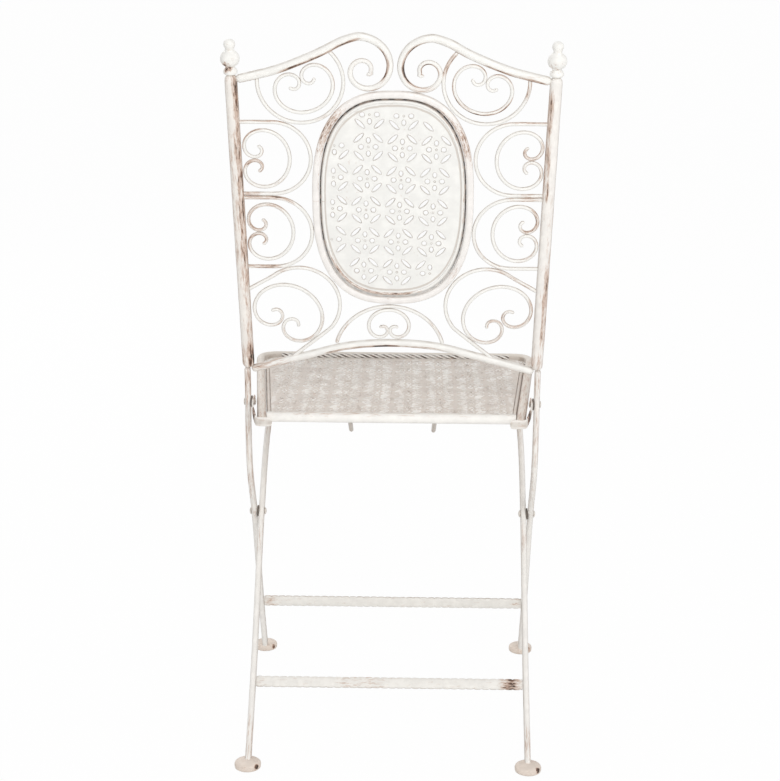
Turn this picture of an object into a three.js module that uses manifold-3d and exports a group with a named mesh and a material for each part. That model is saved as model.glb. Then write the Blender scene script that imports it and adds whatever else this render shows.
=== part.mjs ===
// A folding metal garden chair, painted cream: scrolled back with a pierced oval
// panel, pierced seat, two pairs of crossing legs on round feet.
// Millimetres, +Z up. The chair faces -Y, the sitter's left is +X, the floor is z = 0.
import * as THREE from 'three';
import { mergeVertices } from 'three/addons/utils/BufferGeometryUtils.js';
import Module from 'manifold-3d';

const wasm = await Module();
wasm.setup();

// Driving dimensions
const weldGap = 0.3;               // clearance left between pieces that touch
const rake = THREE.MathUtils.degToRad(14);   // lean of the back

const legSpread = 194.5;           // middle of a front leg from the middle of the chair
const rearLegSpread = 184.3;       // the rear legs stand inside the front ones
const rearLegLean = 10;            // how far their tops lean in
const legBar = { thick: 8.2, deep: 15 };
const foot = { radius: 17.5, height: 8.5 };
const rearFootY = 220;
const frontFootY = -190.5;
const crossing = { y: -32, z: 272 };   // rivet where the legs cross
const seatPivot = { y: 40.3, z: 451 };
const washer = { radius: 8, thick: 1.4 };
const shankRadius = 3;

const backFoot = { y: 55.7, z: 540 };  // point on the back's plane that its heights start from
const stile = { radius: 8, low: -41, high: 368.5, halfWidth: 193.5, flare: 0.0214 };
const railRadius = 5.4;
const topRail = {
  thick: 5.7, tip: 2.9, apex: { left: { u: 44.2, v: 417.5 }, right: { u: 49, v: 415.8 } },
};
const rodRadius = 2.5;

const oval = { halfWidth: 103.2, halfHeight: 146, middle: 202, power: 2.6, bar: 9.4 };
const ovalRod = { inset: 12, bar: 4 };
const panelPlate = { inset: 17.2, thick: 1.5 };
// The sheet's pattern stands a little aside of the oval's middle and slightly turned
const rosette = {
  pitch: 42.9,
  aside: -8.5,
  below: -15.1,
  turn: THREE.MathUtils.degToRad(2.1),
  petal: { at: 17, long: 14, wide: 3.4 },
  eye: { at: 9.3, long: 5, wide: 5 },
  slot: { at: 8.8, long: 3.4, wide: 6.6 },
};

const seat = {
  tube: 6.25, level: 450, front: -231.3, rear: 138, widthAtPivot: 176.5, taper: 0.0884,
  cornerRadius: 30, rearBarY: 113, rearBar: 7,
};
const seatRod = { radius: 2.5, offset: 10.1, level: 446.2 };
// bow is the slight curve of the pressed rows and columns
const seatPlate = { bottom: 449, thick: 1.5, offset: 15.4, bow: 0.12 };
const bracket = { thick: 2.6, tall: 12, inner: 185.8 };
const strap = { wide: 14, thick: 3, top: 448.7 };
const hook = { radius: 2.6, spread: 58, y: 18, low: 403 };
const topBar = { radius: 4.5, y: -190, z: 440.8 };
const crossbar = { tall: 15, thick: 4.5 };
const frontBarAt = { y: -125, z: 101 };
const rearBarAt = { y: 130, z: 83 };

// Solids from three.js geometries, and back
function toSolid(geometry) {
  const bare = geometry.clone();
  bare.deleteAttribute('normal');
  bare.deleteAttribute('uv');
  const merged = mergeVertices(bare.index ? bare.toNonIndexed() : bare, 1e-4);
  return new wasm.Manifold(new wasm.Mesh({
    numProp: 3,
    vertProperties: new Float32Array(merged.attributes.position.array),
    triVerts: new Uint32Array(merged.index.array),
  }));
}

function toGeometry(solid) {
  const mesh = solid.getMesh();
  const geometry = new THREE.BufferGeometry();
  geometry.setAttribute('position', new THREE.BufferAttribute(mesh.vertProperties, 3));
  geometry.setIndex(new THREE.BufferAttribute(mesh.triVerts, 1));
  geometry.computeVertexNormals();
  return geometry;
}

function cut(geometry, ...cutters) {
  const solid = cutters.reduce((left, tool) => left.subtract(toSolid(tool)), toSolid(geometry));
  return toGeometry(solid);
}

function join(first, ...others) {
  const solid = others.reduce((sum, piece) => sum.add(toSolid(piece)), toSolid(first));
  return toGeometry(solid);
}

// Bars, rods and plates
function roundSection(radius, sides) {
  const section = new THREE.Shape();
  for (let i = 0; i < sides; i += 1) {
    const angle = (i + 0.5) * 2 * Math.PI / sides;
    const x = radius * Math.cos(angle);
    const y = radius * Math.sin(angle);
    if (i === 0) section.moveTo(x, y);
    else section.lineTo(x, y);
  }
  return section;
}

function flatOvalSection(thick, deep) {
  const ends = thick / 2;
  const straight = deep / 2 - ends;
  const section = new THREE.Shape();
  section.absarc(0, straight, ends, 0, Math.PI, false);
  section.absarc(0, -straight, ends, Math.PI, 2 * Math.PI, false);
  return section;
}

function rodAlong(path, radius, { sides = 6, steps = 24 } = {}) {
  return new THREE.ExtrudeGeometry(roundSection(radius, sides), { extrudePath: path, steps });
}

function smooth(points) {
  return new THREE.CatmullRomCurve3(points, false, 'centripetal');
}

function cylinderX(radius, from, to, y, z, sides = 16) {
  const geometry = new THREE.CylinderGeometry(radius, radius, Math.abs(to - from), sides);
  geometry.rotateZ(Math.PI / 2);
  geometry.translate((from + to) / 2, y, z);
  return geometry;
}

// Curves in the plane of the back: u is across, v is up the back
const onBack = (u, v) => new THREE.Vector3(u, 0, v);

// A run that starts with the given radius and heading and curls ever tighter
function curl({ u, v, heading, radius, shrink, quicken = 0, turn, hand = 1, steps = 30 }) {
  const points = [onBack(u, v)];
  let angle = heading;
  const step = turn / steps;
  for (let i = 0; i < steps; i += 1) {
    const turned = (i + 0.5) * step;
    const bend = radius * Math.exp(-shrink * turned - quicken * turned * turned);
    const middle = angle + hand * step / 2;
    const chord = 2 * bend * Math.sin(step / 2);
    const last = points[points.length - 1];
    points.push(onBack(last.x + chord * Math.cos(middle), last.z + chord * Math.sin(middle)));
    angle += hand * step;
  }
  return points;
}

// A C-scroll: two equal curls that run away from the middle of its back
function scrollCurve({ u, v, opens, radius, shrink = 0.3, turn = 8 }) {
  const arm = { u, v, radius, shrink, turn, steps: 22 };
  const first = curl({ ...arm, heading: opens + Math.PI / 2, hand: -1 });
  const second = curl({ ...arm, heading: opens - Math.PI / 2, hand: 1 });
  return smooth([...first.reverse(), ...second.slice(1)]);
}

function arcPoints(u, v, radius, from, to, count) {
  const points = [];
  for (let i = 0; i <= count; i += 1) {
    const angle = THREE.MathUtils.degToRad(from + (to - from) * i / count);
    points.push(onBack(u + radius * Math.cos(angle), v + radius * Math.sin(angle)));
  }
  return points;
}

const stileAt = (v) => stile.halfWidth + stile.flare * v;

// The back's oval, squarer than an ellipse
function superEllipse(halfWidth, halfHeight, count) {
  const points = [];
  for (let i = 0; i < count; i += 1) {
    const angle = 2 * Math.PI * i / count;
    const c = Math.cos(angle);
    const s = Math.sin(angle);
    const scale = (Math.abs(c / halfWidth) ** oval.power + Math.abs(s / halfHeight) ** oval.power)
      ** (-1 / oval.power);
    points.push(new THREE.Vector2(scale * c, scale * s));
  }
  return points;
}

// An oval hoop with rounded edges, lying in the plane of the back
function hoop(inset, bar, count = 32) {
  const round = bar * 0.28;
  const outer = superEllipse(oval.halfWidth - inset - round, oval.halfHeight - inset - round, count);
  const inner = superEllipse(
    oval.halfWidth - inset - bar + round,
    oval.halfHeight - inset - bar + round,
    count,
  );
  const shape = new THREE.Shape(outer);
  shape.holes.push(new THREE.Path(inner.reverse()));
  const geometry = new THREE.ExtrudeGeometry(shape, {
    depth: bar - 2 * round, bevelSize: round, bevelThickness: round, bevelSegments: 1,
  });
  return layInBack(geometry, (bar - 2 * round) / 2);
}

// Turns a flat extrusion up into the plane of the back, centred on the oval
function layInBack(geometry, halfDepth) {
  geometry.translate(0, 0, -halfDepth);
  geometry.rotateX(Math.PI / 2);
  geometry.translate(0, 0, oval.middle);
  return geometry;
}

// One rosette of the pierced sheet: four petals on the diagonals make a broken circle
function petalHoles(x, y) {
  return [0, 1, 2, 3].map((quarter) => (
    lozenge(x, y, (quarter + 0.5) * Math.PI / 2, rosette.petal)));
}

// The back's rosettes also have an eye at each side and a slot above and below
function middleHoles(x, y) {
  return [0, 1, 2, 3].map((quarter) => (
    lozenge(x, y, quarter * Math.PI / 2, quarter % 2 === 0 ? rosette.eye : rosette.slot)));
}

function lozenge(x, y, angle, { at, long, wide }) {
  const out = new THREE.Vector2(Math.cos(angle), Math.sin(angle));
  const along = new THREE.Vector2(-out.y, out.x);
  const middle = new THREE.Vector2(x, y).addScaledVector(out, at);
  return [
    middle.clone().addScaledVector(out, wide / 2),
    middle.clone().addScaledVector(along, long / 2),
    middle.clone().addScaledVector(out, -wide / 2),
    middle.clone().addScaledVector(along, -long / 2),
  ];
}

// The back frame's pieces, in the plane of the back
function stileTube(side) {
  const axis = new THREE.LineCurve3(
    onBack(side * stileAt(stile.low), stile.low),
    onBack(side * stileAt(stile.high), stile.high),
  );
  return rodAlong(axis, stile.radius, { sides: 14, steps: 1 });
}

function stileCutter(side) {
  const axis = new THREE.LineCurve3(
    onBack(side * stileAt(stile.low - 12), stile.low - 12),
    onBack(side * stileAt(stile.high + 12), stile.high + 12),
  );
  return rodAlong(axis, stile.radius + weldGap, { sides: 14, steps: 1 });
}

function finial(side) {
  const profile = [
    [0, 0], [7.6, 0], [8.9, 1.8], [8.9, 4.6], [6.6, 7.2], [5.9, 9.4], [9.6, 12.2], [12.6, 16.6],
    [12.9, 20], [10.8, 25], [6.9, 28.4], [5.1, 30.4], [5.8, 33], [7.3, 37.4], [5.7, 41.8],
    [2.8, 43.7], [0, 44],
  ].map(([r, h]) => new THREE.Vector2(r, h));
  const geometry = new THREE.LatheGeometry(profile, 10);
  geometry.rotateX(Math.PI / 2);
  geometry.translate(side * stileAt(stile.high), 0, stile.high + weldGap);
  return geometry;
}

function topRailPath(side) {
  const apex = topRail.apex[side > 0 ? 'left' : 'right'];
  const scroll = curl({
    ...apex, heading: Math.PI, radius: 44.3, shrink: 0.184, quicken: 0.002, turn: 9.2, steps: 34,
  });
  const rise = [
    [stileAt(361.5) - 2, 361.5], [172, 367.2], [144, 374.8], [93, 396], [apex.u + 19.8, apex.v - 6.3],
  ];
  const points = [...rise.map(([u, v]) => onBack(u, v)), ...scroll];
  return smooth(points.map((p) => onBack(side * p.x, p.z)));
}

function topRailBar(side, extra = 0) {
  const path = topRailPath(side);
  const steps = 36;
  const geometry = rodAlong(path, 1, { sides: 7, steps });
  const centres = path.getSpacedPoints(steps);
  const at = geometry.attributes.position;
  const corner = new THREE.Vector3();
  for (let i = 0; i < at.count; i += 1) {
    corner.fromBufferAttribute(at, i);
    let nearest = 0;
    centres.forEach((centre, k) => {
      if (centre.distanceTo(corner) < centres[nearest].distanceTo(corner)) nearest = k;
    });
    const worn = THREE.MathUtils.smoothstep(nearest / steps, 0.3, 1);
    const radius = THREE.MathUtils.lerp(topRail.thick, topRail.tip, worn) + extra;
    corner.sub(centres[nearest]).multiplyScalar(radius).add(centres[nearest]);
    at.setXYZ(i, corner.x, corner.y, corner.z);
  }
  return geometry;
}

function bottomRailPath() {
  const half = [[60, -7.5], [112, -21.5], [stileAt(-43.5) - 3, -43.5]];
  const left = half.map(([u, v]) => onBack(u, v)).reverse();
  const right = half.map(([u, v]) => onBack(-u, v));
  return smooth([...left, onBack(0, -2.5), ...right]);
}

function bottomRailBar(extra = 0) {
  return rodAlong(bottomRailPath(), railRadius + extra, { sides: 8, steps: 20 });
}

function sideArchPath(side, middle) {
  const reach = 48.2;
  const turnAt = 152.2;
  const bow = arcPoints(turnAt, middle, reach, 90, 270, 12);
  const ends = [middle + reach, middle - reach].map((v) => onBack(stileAt(v) - 2, v));
  const points = [ends[0], ...bow, ends[1]];
  return smooth(points.map((p) => onBack(side * p.x, p.z)));
}

function cornerArchPath(side) {
  const points = arcPoints(115.5, 359, 53.5, 6, -228, 20);
  return smooth(points.map((p) => onBack(side * p.x, p.z)));
}

function bottomArchPath(side) {
  const bow = arcPoints(122.3, 53.2, 53, 52, 218, 14);
  const points = [onBack(stileAt(75) - 2, 74.5), ...bow, onBack(121, -14), onBack(133, -24)];
  return smooth(points.map((p) => onBack(side * p.x, p.z)));
}

function centreArchPath() {
  return smooth(arcPoints(4, -21, 72.6, 14, 166, 14));
}

const scrolls = {
  corner: { u: 99, v: 322, opens: 68, radius: 43.5 },
  upper: { u: 130.6, v: 257, opens: 0, radius: 45 },
  lower: { u: 128.2, v: 156.5, opens: 0, radius: 45 },
  bottom: { u: 115.4, v: 73, opens: -57, radius: 55 },
};

function scrollRod(side, { u, v, opens, radius, shrink, turn }) {
  const angle = THREE.MathUtils.degToRad(side > 0 ? opens : 180 - opens);
  const path = scrollCurve({ u: side * u, v, opens: angle, radius, shrink, turn });
  return rodAlong(path, rodRadius, { sides: 5, steps: 30 });
}

function pierced(outline, thick, holes) {
  const shape = new THREE.Shape(outline);
  holes.forEach((corners) => shape.holes.push(new THREE.Path([...corners].reverse())));
  return new THREE.ExtrudeGeometry(shape, { depth: thick, bevelEnabled: false });
}

function backPanel() {
  const outline = superEllipse(
    oval.halfWidth - panelPlate.inset,
    oval.halfHeight - panelPlate.inset,
    44,
  );
  const keep = (p) => {
    const edge = Math.abs(p.x / (oval.halfWidth - panelPlate.inset - 5)) ** oval.power
      + Math.abs(p.y / (oval.halfHeight - panelPlate.inset - 5)) ** oval.power;
    return edge < 1;
  };
  const origin = new THREE.Vector2();
  const holes = [];
  for (let column = -2; column <= 2; column += 1) {
    for (let row = -3; row <= 3; row += 1) {
      const at = new THREE.Vector2(column, row).multiplyScalar(rosette.pitch);
      at.rotateAround(origin, rosette.turn);
      const x = at.x + rosette.aside;
      const y = at.y + rosette.below;
      holes.push(...petalHoles(x, y), ...middleHoles(x, y));
    }
  }
  const kept = holes.filter((corners) => corners.every(keep));
  return layInBack(pierced(outline, panelPlate.thick, kept), panelPlate.thick / 2);
}

function innerHoop() {
  const rod = hoop(ovalRod.inset, ovalRod.bar);
  const gapWidth = ovalRod.inset - oval.bar + 1;
  const beads = [-1, 1].map((side) => {
    const bead = new THREE.BoxGeometry(gapWidth, 3, 6);
    const reach = oval.halfWidth - oval.bar - weldGap - gapWidth / 2;
    bead.translate(side * reach, 0, oval.middle);
    return bead;
  });
  return join(rod, ...beads);
}

// Legs
const frontLegLine = [
  [45.7, 499.1], [40.8, 471], [40.4, 412], [27, 352], [crossing.y, crossing.z],
  [-81, 182], [-134, 84], [frontFootY + 5, 4],
];
// The rear legs lean in a little near the top
const rearLegLine = [
  [topBar.y - 1, topBar.z - 3.3, rearLegLean], [-153, 395, rearLegLean / 2], [-112, 349, 1],
  [crossing.y, crossing.z], [105, 110], [rearFootY - 4, 4],
];

function legBarAlong(line, x) {
  const side = Math.sign(x);
  const path = smooth(line.map(([y, z, lean = 0]) => new THREE.Vector3(x - side * lean, y, z)));
  const section = flatOvalSection(legBar.thick, legBar.deep);
  return new THREE.ExtrudeGeometry(section, { extrudePath: path, steps: 12, curveSegments: 3 });
}

function footPuck(x, y, extra = 0, bottom = 0) {
  const { radius, height } = foot;
  const profile = [
    [0, bottom], [radius - 2.5 + extra, bottom], [radius + extra, bottom + 2.2], [radius + extra, 5],
    [radius - 3.4 + extra, height - 0.6 + extra], [radius - 7, height + extra], [0, height + extra],
  ].map(([r, h]) => new THREE.Vector2(r, h));
  const geometry = new THREE.LatheGeometry(profile, 14);
  geometry.rotateX(Math.PI / 2);
  geometry.translate(x, y, 0);
  return geometry;
}

function hammeredBar(halfLength, at, tilt) {
  const geometry = new THREE.BoxGeometry(2 * halfLength, crossbar.thick, crossbar.tall);
  geometry.rotateX(tilt);
  geometry.translate(0, at.y, at.z);
  return geometry;
}

// A rivet or bolt: shank across the chair with a domed head at each end
function headedPin(side, inner, outer, at, headRadius, headHeight) {
  const profile = [
    [0, inner - headHeight], [headRadius * 0.6, inner - headHeight], [headRadius, inner - 0.8],
    [headRadius, inner], [shankRadius, inner], [shankRadius, outer], [headRadius, outer],
    [headRadius, outer + 0.8], [headRadius * 0.6, outer + headHeight], [0, outer + headHeight],
  ].map(([r, h]) => new THREE.Vector2(r, h));
  const geometry = new THREE.LatheGeometry(profile, 8);
  geometry.rotateZ(-side * Math.PI / 2);
  geometry.translate(0, at.y, at.z);
  return geometry;
}

function ringWasher(side, inner, at) {
  const { radius, thick } = washer;
  const bore = shankRadius + weldGap;
  const profile = [
    [bore, inner], [radius, inner], [radius, inner + thick], [bore, inner + thick], [bore, inner],
  ].map(([r, h]) => new THREE.Vector2(r, h));
  const geometry = new THREE.LatheGeometry(profile, 12);
  geometry.rotateZ(-side * Math.PI / 2);
  geometry.translate(0, at.y, at.z);
  return geometry;
}

const boreFor = (at) => cylinderX(shankRadius + weldGap, -230, 230, at.y, at.z, 12);

// Seat
const seatTubeAt = (y) => seat.widthAtPivot - seat.taper * (y - seatPivot.y);

function seatFramePoints() {
  const side = (y, sign) => new THREE.Vector3(sign * seatTubeAt(y), y, seat.level);
  const bend = (sign) => new THREE.QuadraticBezierCurve3(
    side(seat.front + seat.cornerRadius, sign),
    side(seat.front, sign),
    new THREE.Vector3(sign * (seatTubeAt(seat.front) - seat.cornerRadius), seat.front, seat.level),
  );
  const leftBend = bend(1).getPoints(6);
  const rightBend = bend(-1).getPoints(6).reverse();
  return [side(seat.rear, 1), side(-40, 1), ...leftBend, ...rightBend, side(-40, -1),
    side(seat.rear, -1)];
}

// A tube that runs straight between its points and turns with them
function tubeThrough(points, radius, sides) {
  const curve = new THREE.Curve();
  curve.getPoint = (t) => points[Math.round(t * (points.length - 1))].clone();
  curve.getPointAt = curve.getPoint;
  curve.getSpacedPoints = () => points.map((p) => p.clone());
  curve.getTangent = (t) => {
    const i = Math.round(t * (points.length - 1));
    const before = points[Math.max(i - 1, 0)];
    const after = points[Math.min(i + 1, points.length - 1)];
    return after.clone().sub(before).normalize();
  };
  curve.getTangentAt = curve.getTangent;
  return new THREE.ExtrudeGeometry(roundSection(radius, sides), {
    extrudePath: curve, steps: points.length - 1,
  });
}

function seatSideRod(side) {
  const inside = (y) => side * (seatTubeAt(y) - seatRod.offset);
  const path = new THREE.LineCurve3(
    new THREE.Vector3(inside(seat.front + 24), seat.front + 24, seatRod.level),
    new THREE.Vector3(inside(seat.rearBarY - 8), seat.rearBarY - 8, seatRod.level),
  );
  return rodAlong(path, seatRod.radius, { sides: 6, steps: 1 });
}

// The front rod is twisted square bar
function ropeRod() {
  const half = seatTubeAt(seat.front) - 32;
  const turns = 44;
  const width = seatRod.radius * 1.7;
  const section = new THREE.Shape([
    new THREE.Vector2(-width / 2, -width / 2), new THREE.Vector2(width / 2, -width / 2),
    new THREE.Vector2(width / 2, width / 2), new THREE.Vector2(-width / 2, width / 2),
  ]);
  const geometry = new THREE.ExtrudeGeometry(section, {
    depth: 2 * half, steps: turns, bevelEnabled: false,
  });
  const at = geometry.attributes.position;
  for (let i = 0; i < at.count; i += 1) {
    const angle = at.getZ(i) / (2 * half) * turns * Math.PI / 2;
    const x = at.getX(i);
    const y = at.getY(i);
    at.setX(i, x * Math.cos(angle) - y * Math.sin(angle));
    at.setY(i, x * Math.sin(angle) + y * Math.cos(angle));
  }
  geometry.translate(0, 0, -half);
  geometry.rotateY(Math.PI / 2);
  geometry.translate(0, seat.front + seatRod.offset + 0.3, seat.level);
  return geometry;
}

function seatPlatePiece() {
  const front = seat.front + seatPlate.offset + 1;
  const rear = seat.rearBarY - seat.rearBar - 1;
  const edge = (y) => seatTubeAt(y) - seatPlate.offset;
  const corner = 12;
  const outline = [
    new THREE.Vector2(edge(rear), rear), new THREE.Vector2(edge(front + corner), front + corner),
    new THREE.Vector2(edge(front) - corner, front),
  ];
  const mirrored = outline.map((p) => new THREE.Vector2(-p.x, p.y)).reverse();
  const margin = 4;
  const keep = (p) => {
    const fromSide = edge(p.y) - Math.abs(p.x);
    const fromFront = p.y - front;
    return Math.min(fromSide, fromFront, rear - p.y) > margin
      && fromSide + fromFront > corner + 2 * margin;
  };
  const holes = [];
  for (let column = -3.5; column <= 3.5; column += 1) {
    for (let row = -3; row <= 3; row += 1) {
      const x = column * rosette.pitch + seatPlate.bow * row ** 2;
      const y = row * rosette.pitch + seatPlate.bow * column ** 2;
      holes.push(...petalHoles(x, y + (front + rear) / 2));
    }
  }
  const kept = holes.filter((corners) => corners.every(keep));
  const geometry = pierced([...mirrored, ...outline].reverse(), seatPlate.thick, kept);
  geometry.translate(0, 0, seatPlate.bottom);
  return geometry;
}

// A strip on edge: bolted at the pivot, wrapped round the rear end of the seat tube
function seatBracket(side) {
  const { thick, tall, inner } = bracket;
  const outerX = inner + thick;
  const rearX = seatTubeAt(seat.rear) + seat.tube + 1;
  const back = seat.rear + 3.5;
  const outline = new THREE.Shape();
  outline.moveTo(outerX, seatPivot.y - 16);
  outline.lineTo(outerX, seatPivot.y + 16);
  outline.lineTo(rearX + thick, back - 6);
  outline.quadraticCurveTo(rearX + thick, back + thick, rearX - 6, back + thick);
  outline.lineTo(rearX - 21, back + thick);
  outline.lineTo(rearX - 21, back);
  outline.lineTo(rearX - 6, back);
  outline.quadraticCurveTo(rearX, back, rearX, back - 6);
  outline.lineTo(inner, seatPivot.y + 15);
  outline.lineTo(inner, seatPivot.y - 16);
  const geometry = new THREE.ExtrudeGeometry(outline, {
    depth: tall, bevelEnabled: false, curveSegments: 5,
  });
  geometry.translate(0, 0, seatPivot.z - tall / 2);
  return side > 0 ? geometry : mirrorX(geometry);
}

function mirrorX(geometry) {
  const flat = geometry.index ? geometry.toNonIndexed() : geometry.clone();
  const at = flat.attributes.position;
  for (let i = 0; i < at.count; i += 3) {
    const corners = [0, 1, 2].map((k) => new THREE.Vector3().fromBufferAttribute(at, i + k));
    [corners[0], corners[2], corners[1]].forEach((p, k) => at.setXYZ(i + k, -p.x, p.y, p.z));
  }
  flat.computeVertexNormals();
  return flat;
}

function seatStrap(y) {
  const half = seatTubeAt(y) - seatRod.offset - seatRod.radius - weldGap - 0.7;
  const geometry = new THREE.BoxGeometry(2 * half, strap.wide, strap.thick);
  geometry.translate(0, y, strap.top - strap.thick / 2);
  return geometry;
}

// A rod hung under the seat, its end turned slightly in
function seatHook(side) {
  const x = side * hook.spread;
  const top = strap.top - strap.thick - weldGap;
  const path = smooth([
    new THREE.Vector3(x, hook.y, top),
    new THREE.Vector3(x, hook.y, (top + hook.low) / 2),
    new THREE.Vector3(x - 2, hook.y - 3, hook.low),
  ]);
  return rodAlong(path, hook.radius, { sides: 8, steps: 5 });
}

// Paint
const cream = 0xe9e2d6;
const finish = (color, roughness = 0.62) => new THREE.MeshStandardMaterial({
  color, roughness, metalness: 0.1,
});

function piece(name, geometry, color = cream, roughness) {
  const mesh = new THREE.Mesh(geometry, finish(color, roughness));
  mesh.name = name;
  return mesh;
}

const chair = new THREE.Group();
const back = new THREE.Group();
back.position.set(0, backFoot.y, backFoot.z);
back.rotation.x = -rake;
chair.add(back);

const sides = { left: 1, right: -1 };
const greyBrown = 0xcfc4b9;
const darkSteel = 0x4a433d;

back.add(piece('oval_ring', hoop(0, oval.bar)));
back.add(piece('oval_inner_rod', innerHoop()));
back.add(piece('back_panel', backPanel(), 0xe6e1da));
back.add(piece('centre_arch', cut(rodAlong(centreArchPath(), rodRadius, { sides: 5, steps: 14 }),
  bottomRailBar(weldGap))));
back.add(piece('centre_scroll', scrollRod(1, {
  u: 5, v: 46.2, opens: -90, radius: 31.4, shrink: 0.3, turn: 7.6,
})));
back.add(piece('bottom_rail', cut(bottomRailBar(), stileCutter(1), stileCutter(-1))));

Object.entries(sides).forEach(([name, side]) => {
  const edge = stileCutter(side);
  const arch = (path) => rodAlong(path, rodRadius, { sides: 5, steps: 16 });
  back.add(piece(`stile_${name}`, stileTube(side)));
  back.add(piece(`finial_${name}`, finial(side)));
  back.add(piece(`top_rail_${name}`, cut(topRailBar(side), edge)));
  back.add(piece(`corner_arch_${name}`, cut(arch(cornerArchPath(side)), topRailBar(side, weldGap))));
  back.add(piece(`upper_arch_${name}`, cut(arch(sideArchPath(side, 257.8)), edge)));
  back.add(piece(`lower_arch_${name}`, cut(arch(sideArchPath(side, 155.8)), edge)));
  back.add(piece(`bottom_arch_${name}`, cut(arch(bottomArchPath(side)), edge,
    bottomRailBar(weldGap))));
  Object.entries(scrolls).forEach(([place, spec]) => {
    back.add(piece(`${place}_scroll_${name}`, scrollRod(side, spec)));
  });
});

Object.entries(sides).forEach(([name, side]) => {
  const frontX = side * legSpread;
  const rearX = side * rearLegSpread;
  const faceIn = rearLegSpread - legBar.thick / 2;
  const faceOut = legSpread + legBar.thick / 2;
  const barGap = legSpread - legBar.thick / 2 - washer.thick - weldGap;
  chair.add(piece(`front_leg_${name}`, cut(legBarAlong(frontLegLine, frontX),
    footPuck(frontX, frontFootY, weldGap, -20), boreFor(crossing), boreFor(seatPivot))));
  chair.add(piece(`front_foot_${name}`, footPuck(frontX, frontFootY), greyBrown));
  chair.add(piece(`rear_leg_${name}`, cut(legBarAlong(rearLegLine, rearX),
    footPuck(rearX, rearFootY, weldGap, -20), boreFor(crossing))));
  chair.add(piece(`rear_foot_${name}`, footPuck(rearX, rearFootY), greyBrown));
  chair.add(piece(`leg_rivet_${name}`, headedPin(side, faceIn - weldGap, faceOut + weldGap,
    crossing, 5, 2.4), darkSteel, 0.8));
  chair.add(piece(`leg_washer_${name}`, ringWasher(side, barGap, crossing), darkSteel, 0.8));
  chair.add(piece(`seat_bolt_${name}`, headedPin(side, bracket.inner - weldGap,
    faceOut + weldGap, seatPivot, 5, 1.6), darkSteel, 0.8));
  chair.add(piece(`seat_washer_${name}`, ringWasher(side, barGap, seatPivot), darkSteel, 0.8));
  chair.add(piece(`seat_bracket_${name}`, cut(seatBracket(side), boreFor(seatPivot))));
  chair.add(piece(`seat_side_rod_${name}`, seatSideRod(side)));
  chair.add(piece(`seat_hook_${name}`, seatHook(side)));
});

const frontBarHalf = legSpread - legBar.thick / 2 - weldGap;
const rearBarHalf = rearLegSpread - legBar.thick / 2 - weldGap;
chair.add(piece('front_crossbar', hammeredBar(frontBarHalf, frontBarAt, -0.5)));
chair.add(piece('rear_crossbar', hammeredBar(rearBarHalf, rearBarAt, 0.7)));
const topBarHalf = rearBarHalf - rearLegLean - 0.6;
chair.add(piece('rear_top_bar', cylinderX(topBar.radius, -topBarHalf, topBarHalf, topBar.y,
  topBar.z, 12)));

chair.add(piece('seat_frame', tubeThrough(seatFramePoints(), seat.tube, 10), greyBrown));
chair.add(piece('seat_rear_bar', cylinderX(seat.rearBar, -seatTubeAt(seat.rearBarY) + 8,
  seatTubeAt(seat.rearBarY) - 8, seat.rearBarY, seat.level, 12)));
chair.add(piece('seat_panel', seatPlatePiece(), greyBrown));
chair.add(piece('seat_rope_rod', ropeRod(), greyBrown));
chair.add(piece('seat_strap_front', seatStrap(topBar.y)));
chair.add(piece('seat_strap_rear', seatStrap(hook.y)));

export default chair;
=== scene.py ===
# Looks of the folding garden chair in peeling cream paint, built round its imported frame.
# Metres; the chair faces -Y, the sitter's left is +X, the floor is z = 0.
import math
import bpy
from mathutils import Matrix, Vector, kdtree, noise


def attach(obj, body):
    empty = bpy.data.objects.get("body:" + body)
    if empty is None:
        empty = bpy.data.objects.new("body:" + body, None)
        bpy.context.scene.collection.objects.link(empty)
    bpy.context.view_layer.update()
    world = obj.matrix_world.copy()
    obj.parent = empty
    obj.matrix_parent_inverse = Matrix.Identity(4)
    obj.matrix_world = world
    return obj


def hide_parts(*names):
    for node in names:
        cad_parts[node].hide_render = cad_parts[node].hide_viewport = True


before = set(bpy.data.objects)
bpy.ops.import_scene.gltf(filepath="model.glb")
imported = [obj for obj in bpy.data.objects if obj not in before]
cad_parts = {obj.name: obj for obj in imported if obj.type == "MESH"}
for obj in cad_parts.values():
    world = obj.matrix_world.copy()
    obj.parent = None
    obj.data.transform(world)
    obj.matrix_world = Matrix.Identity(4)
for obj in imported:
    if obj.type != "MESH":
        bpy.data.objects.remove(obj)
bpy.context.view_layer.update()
sides = {"left": 1, "right": -1}
# An uneven tube is this much slimmer than its solid, to stay inside it
snug = 0.99

# The plane of the back: u across, v up the back, w out of it towards the camera
back = {"y": 0.0557, "z": 0.540, "rake": math.radians(14), "halfWidth": 0.1935, "flare": 0.0214}
backNormal = Vector((0, math.cos(back["rake"]), -math.sin(back["rake"])))
acrossX = Vector((1, 0, 0))
upZ = Vector((0, 0, 1))


def onBack(u, v, w=0.0):
    sine, cosine = math.sin(back["rake"]), math.cos(back["rake"])
    return Vector((u, back["y"] + v * sine + w * cosine, back["z"] + v * cosine - w * sine))


def stileAt(v):
    return back["halfWidth"] + back["flare"] * v


# Camera and studio

camera = {
    "place": (-0.03617, 2.46735, 1.09928),
    "yaw": 0.0162207, "pitch": 0.2543819, "roll": 0.0067754,
    "lens": 85.97, "sensor": 36,
}
studio = {
    "world": 0.62, "floor": (0.86, 0.86, 0.85), "floorSize": 60, "floorLevel": -0.0004,
    # How much of the floor's colour is plain white to the rays that see the surround
    "floorWhite": 0.97,
    "key": {"place": (-0.9, 3.4, 2.1), "size": 2.2, "power": 62},
    "fill": {"place": (1.6, -2.6, 2.4), "size": 2.6, "power": 34},
    "aim": (0, 0, 0.5),
}


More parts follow.
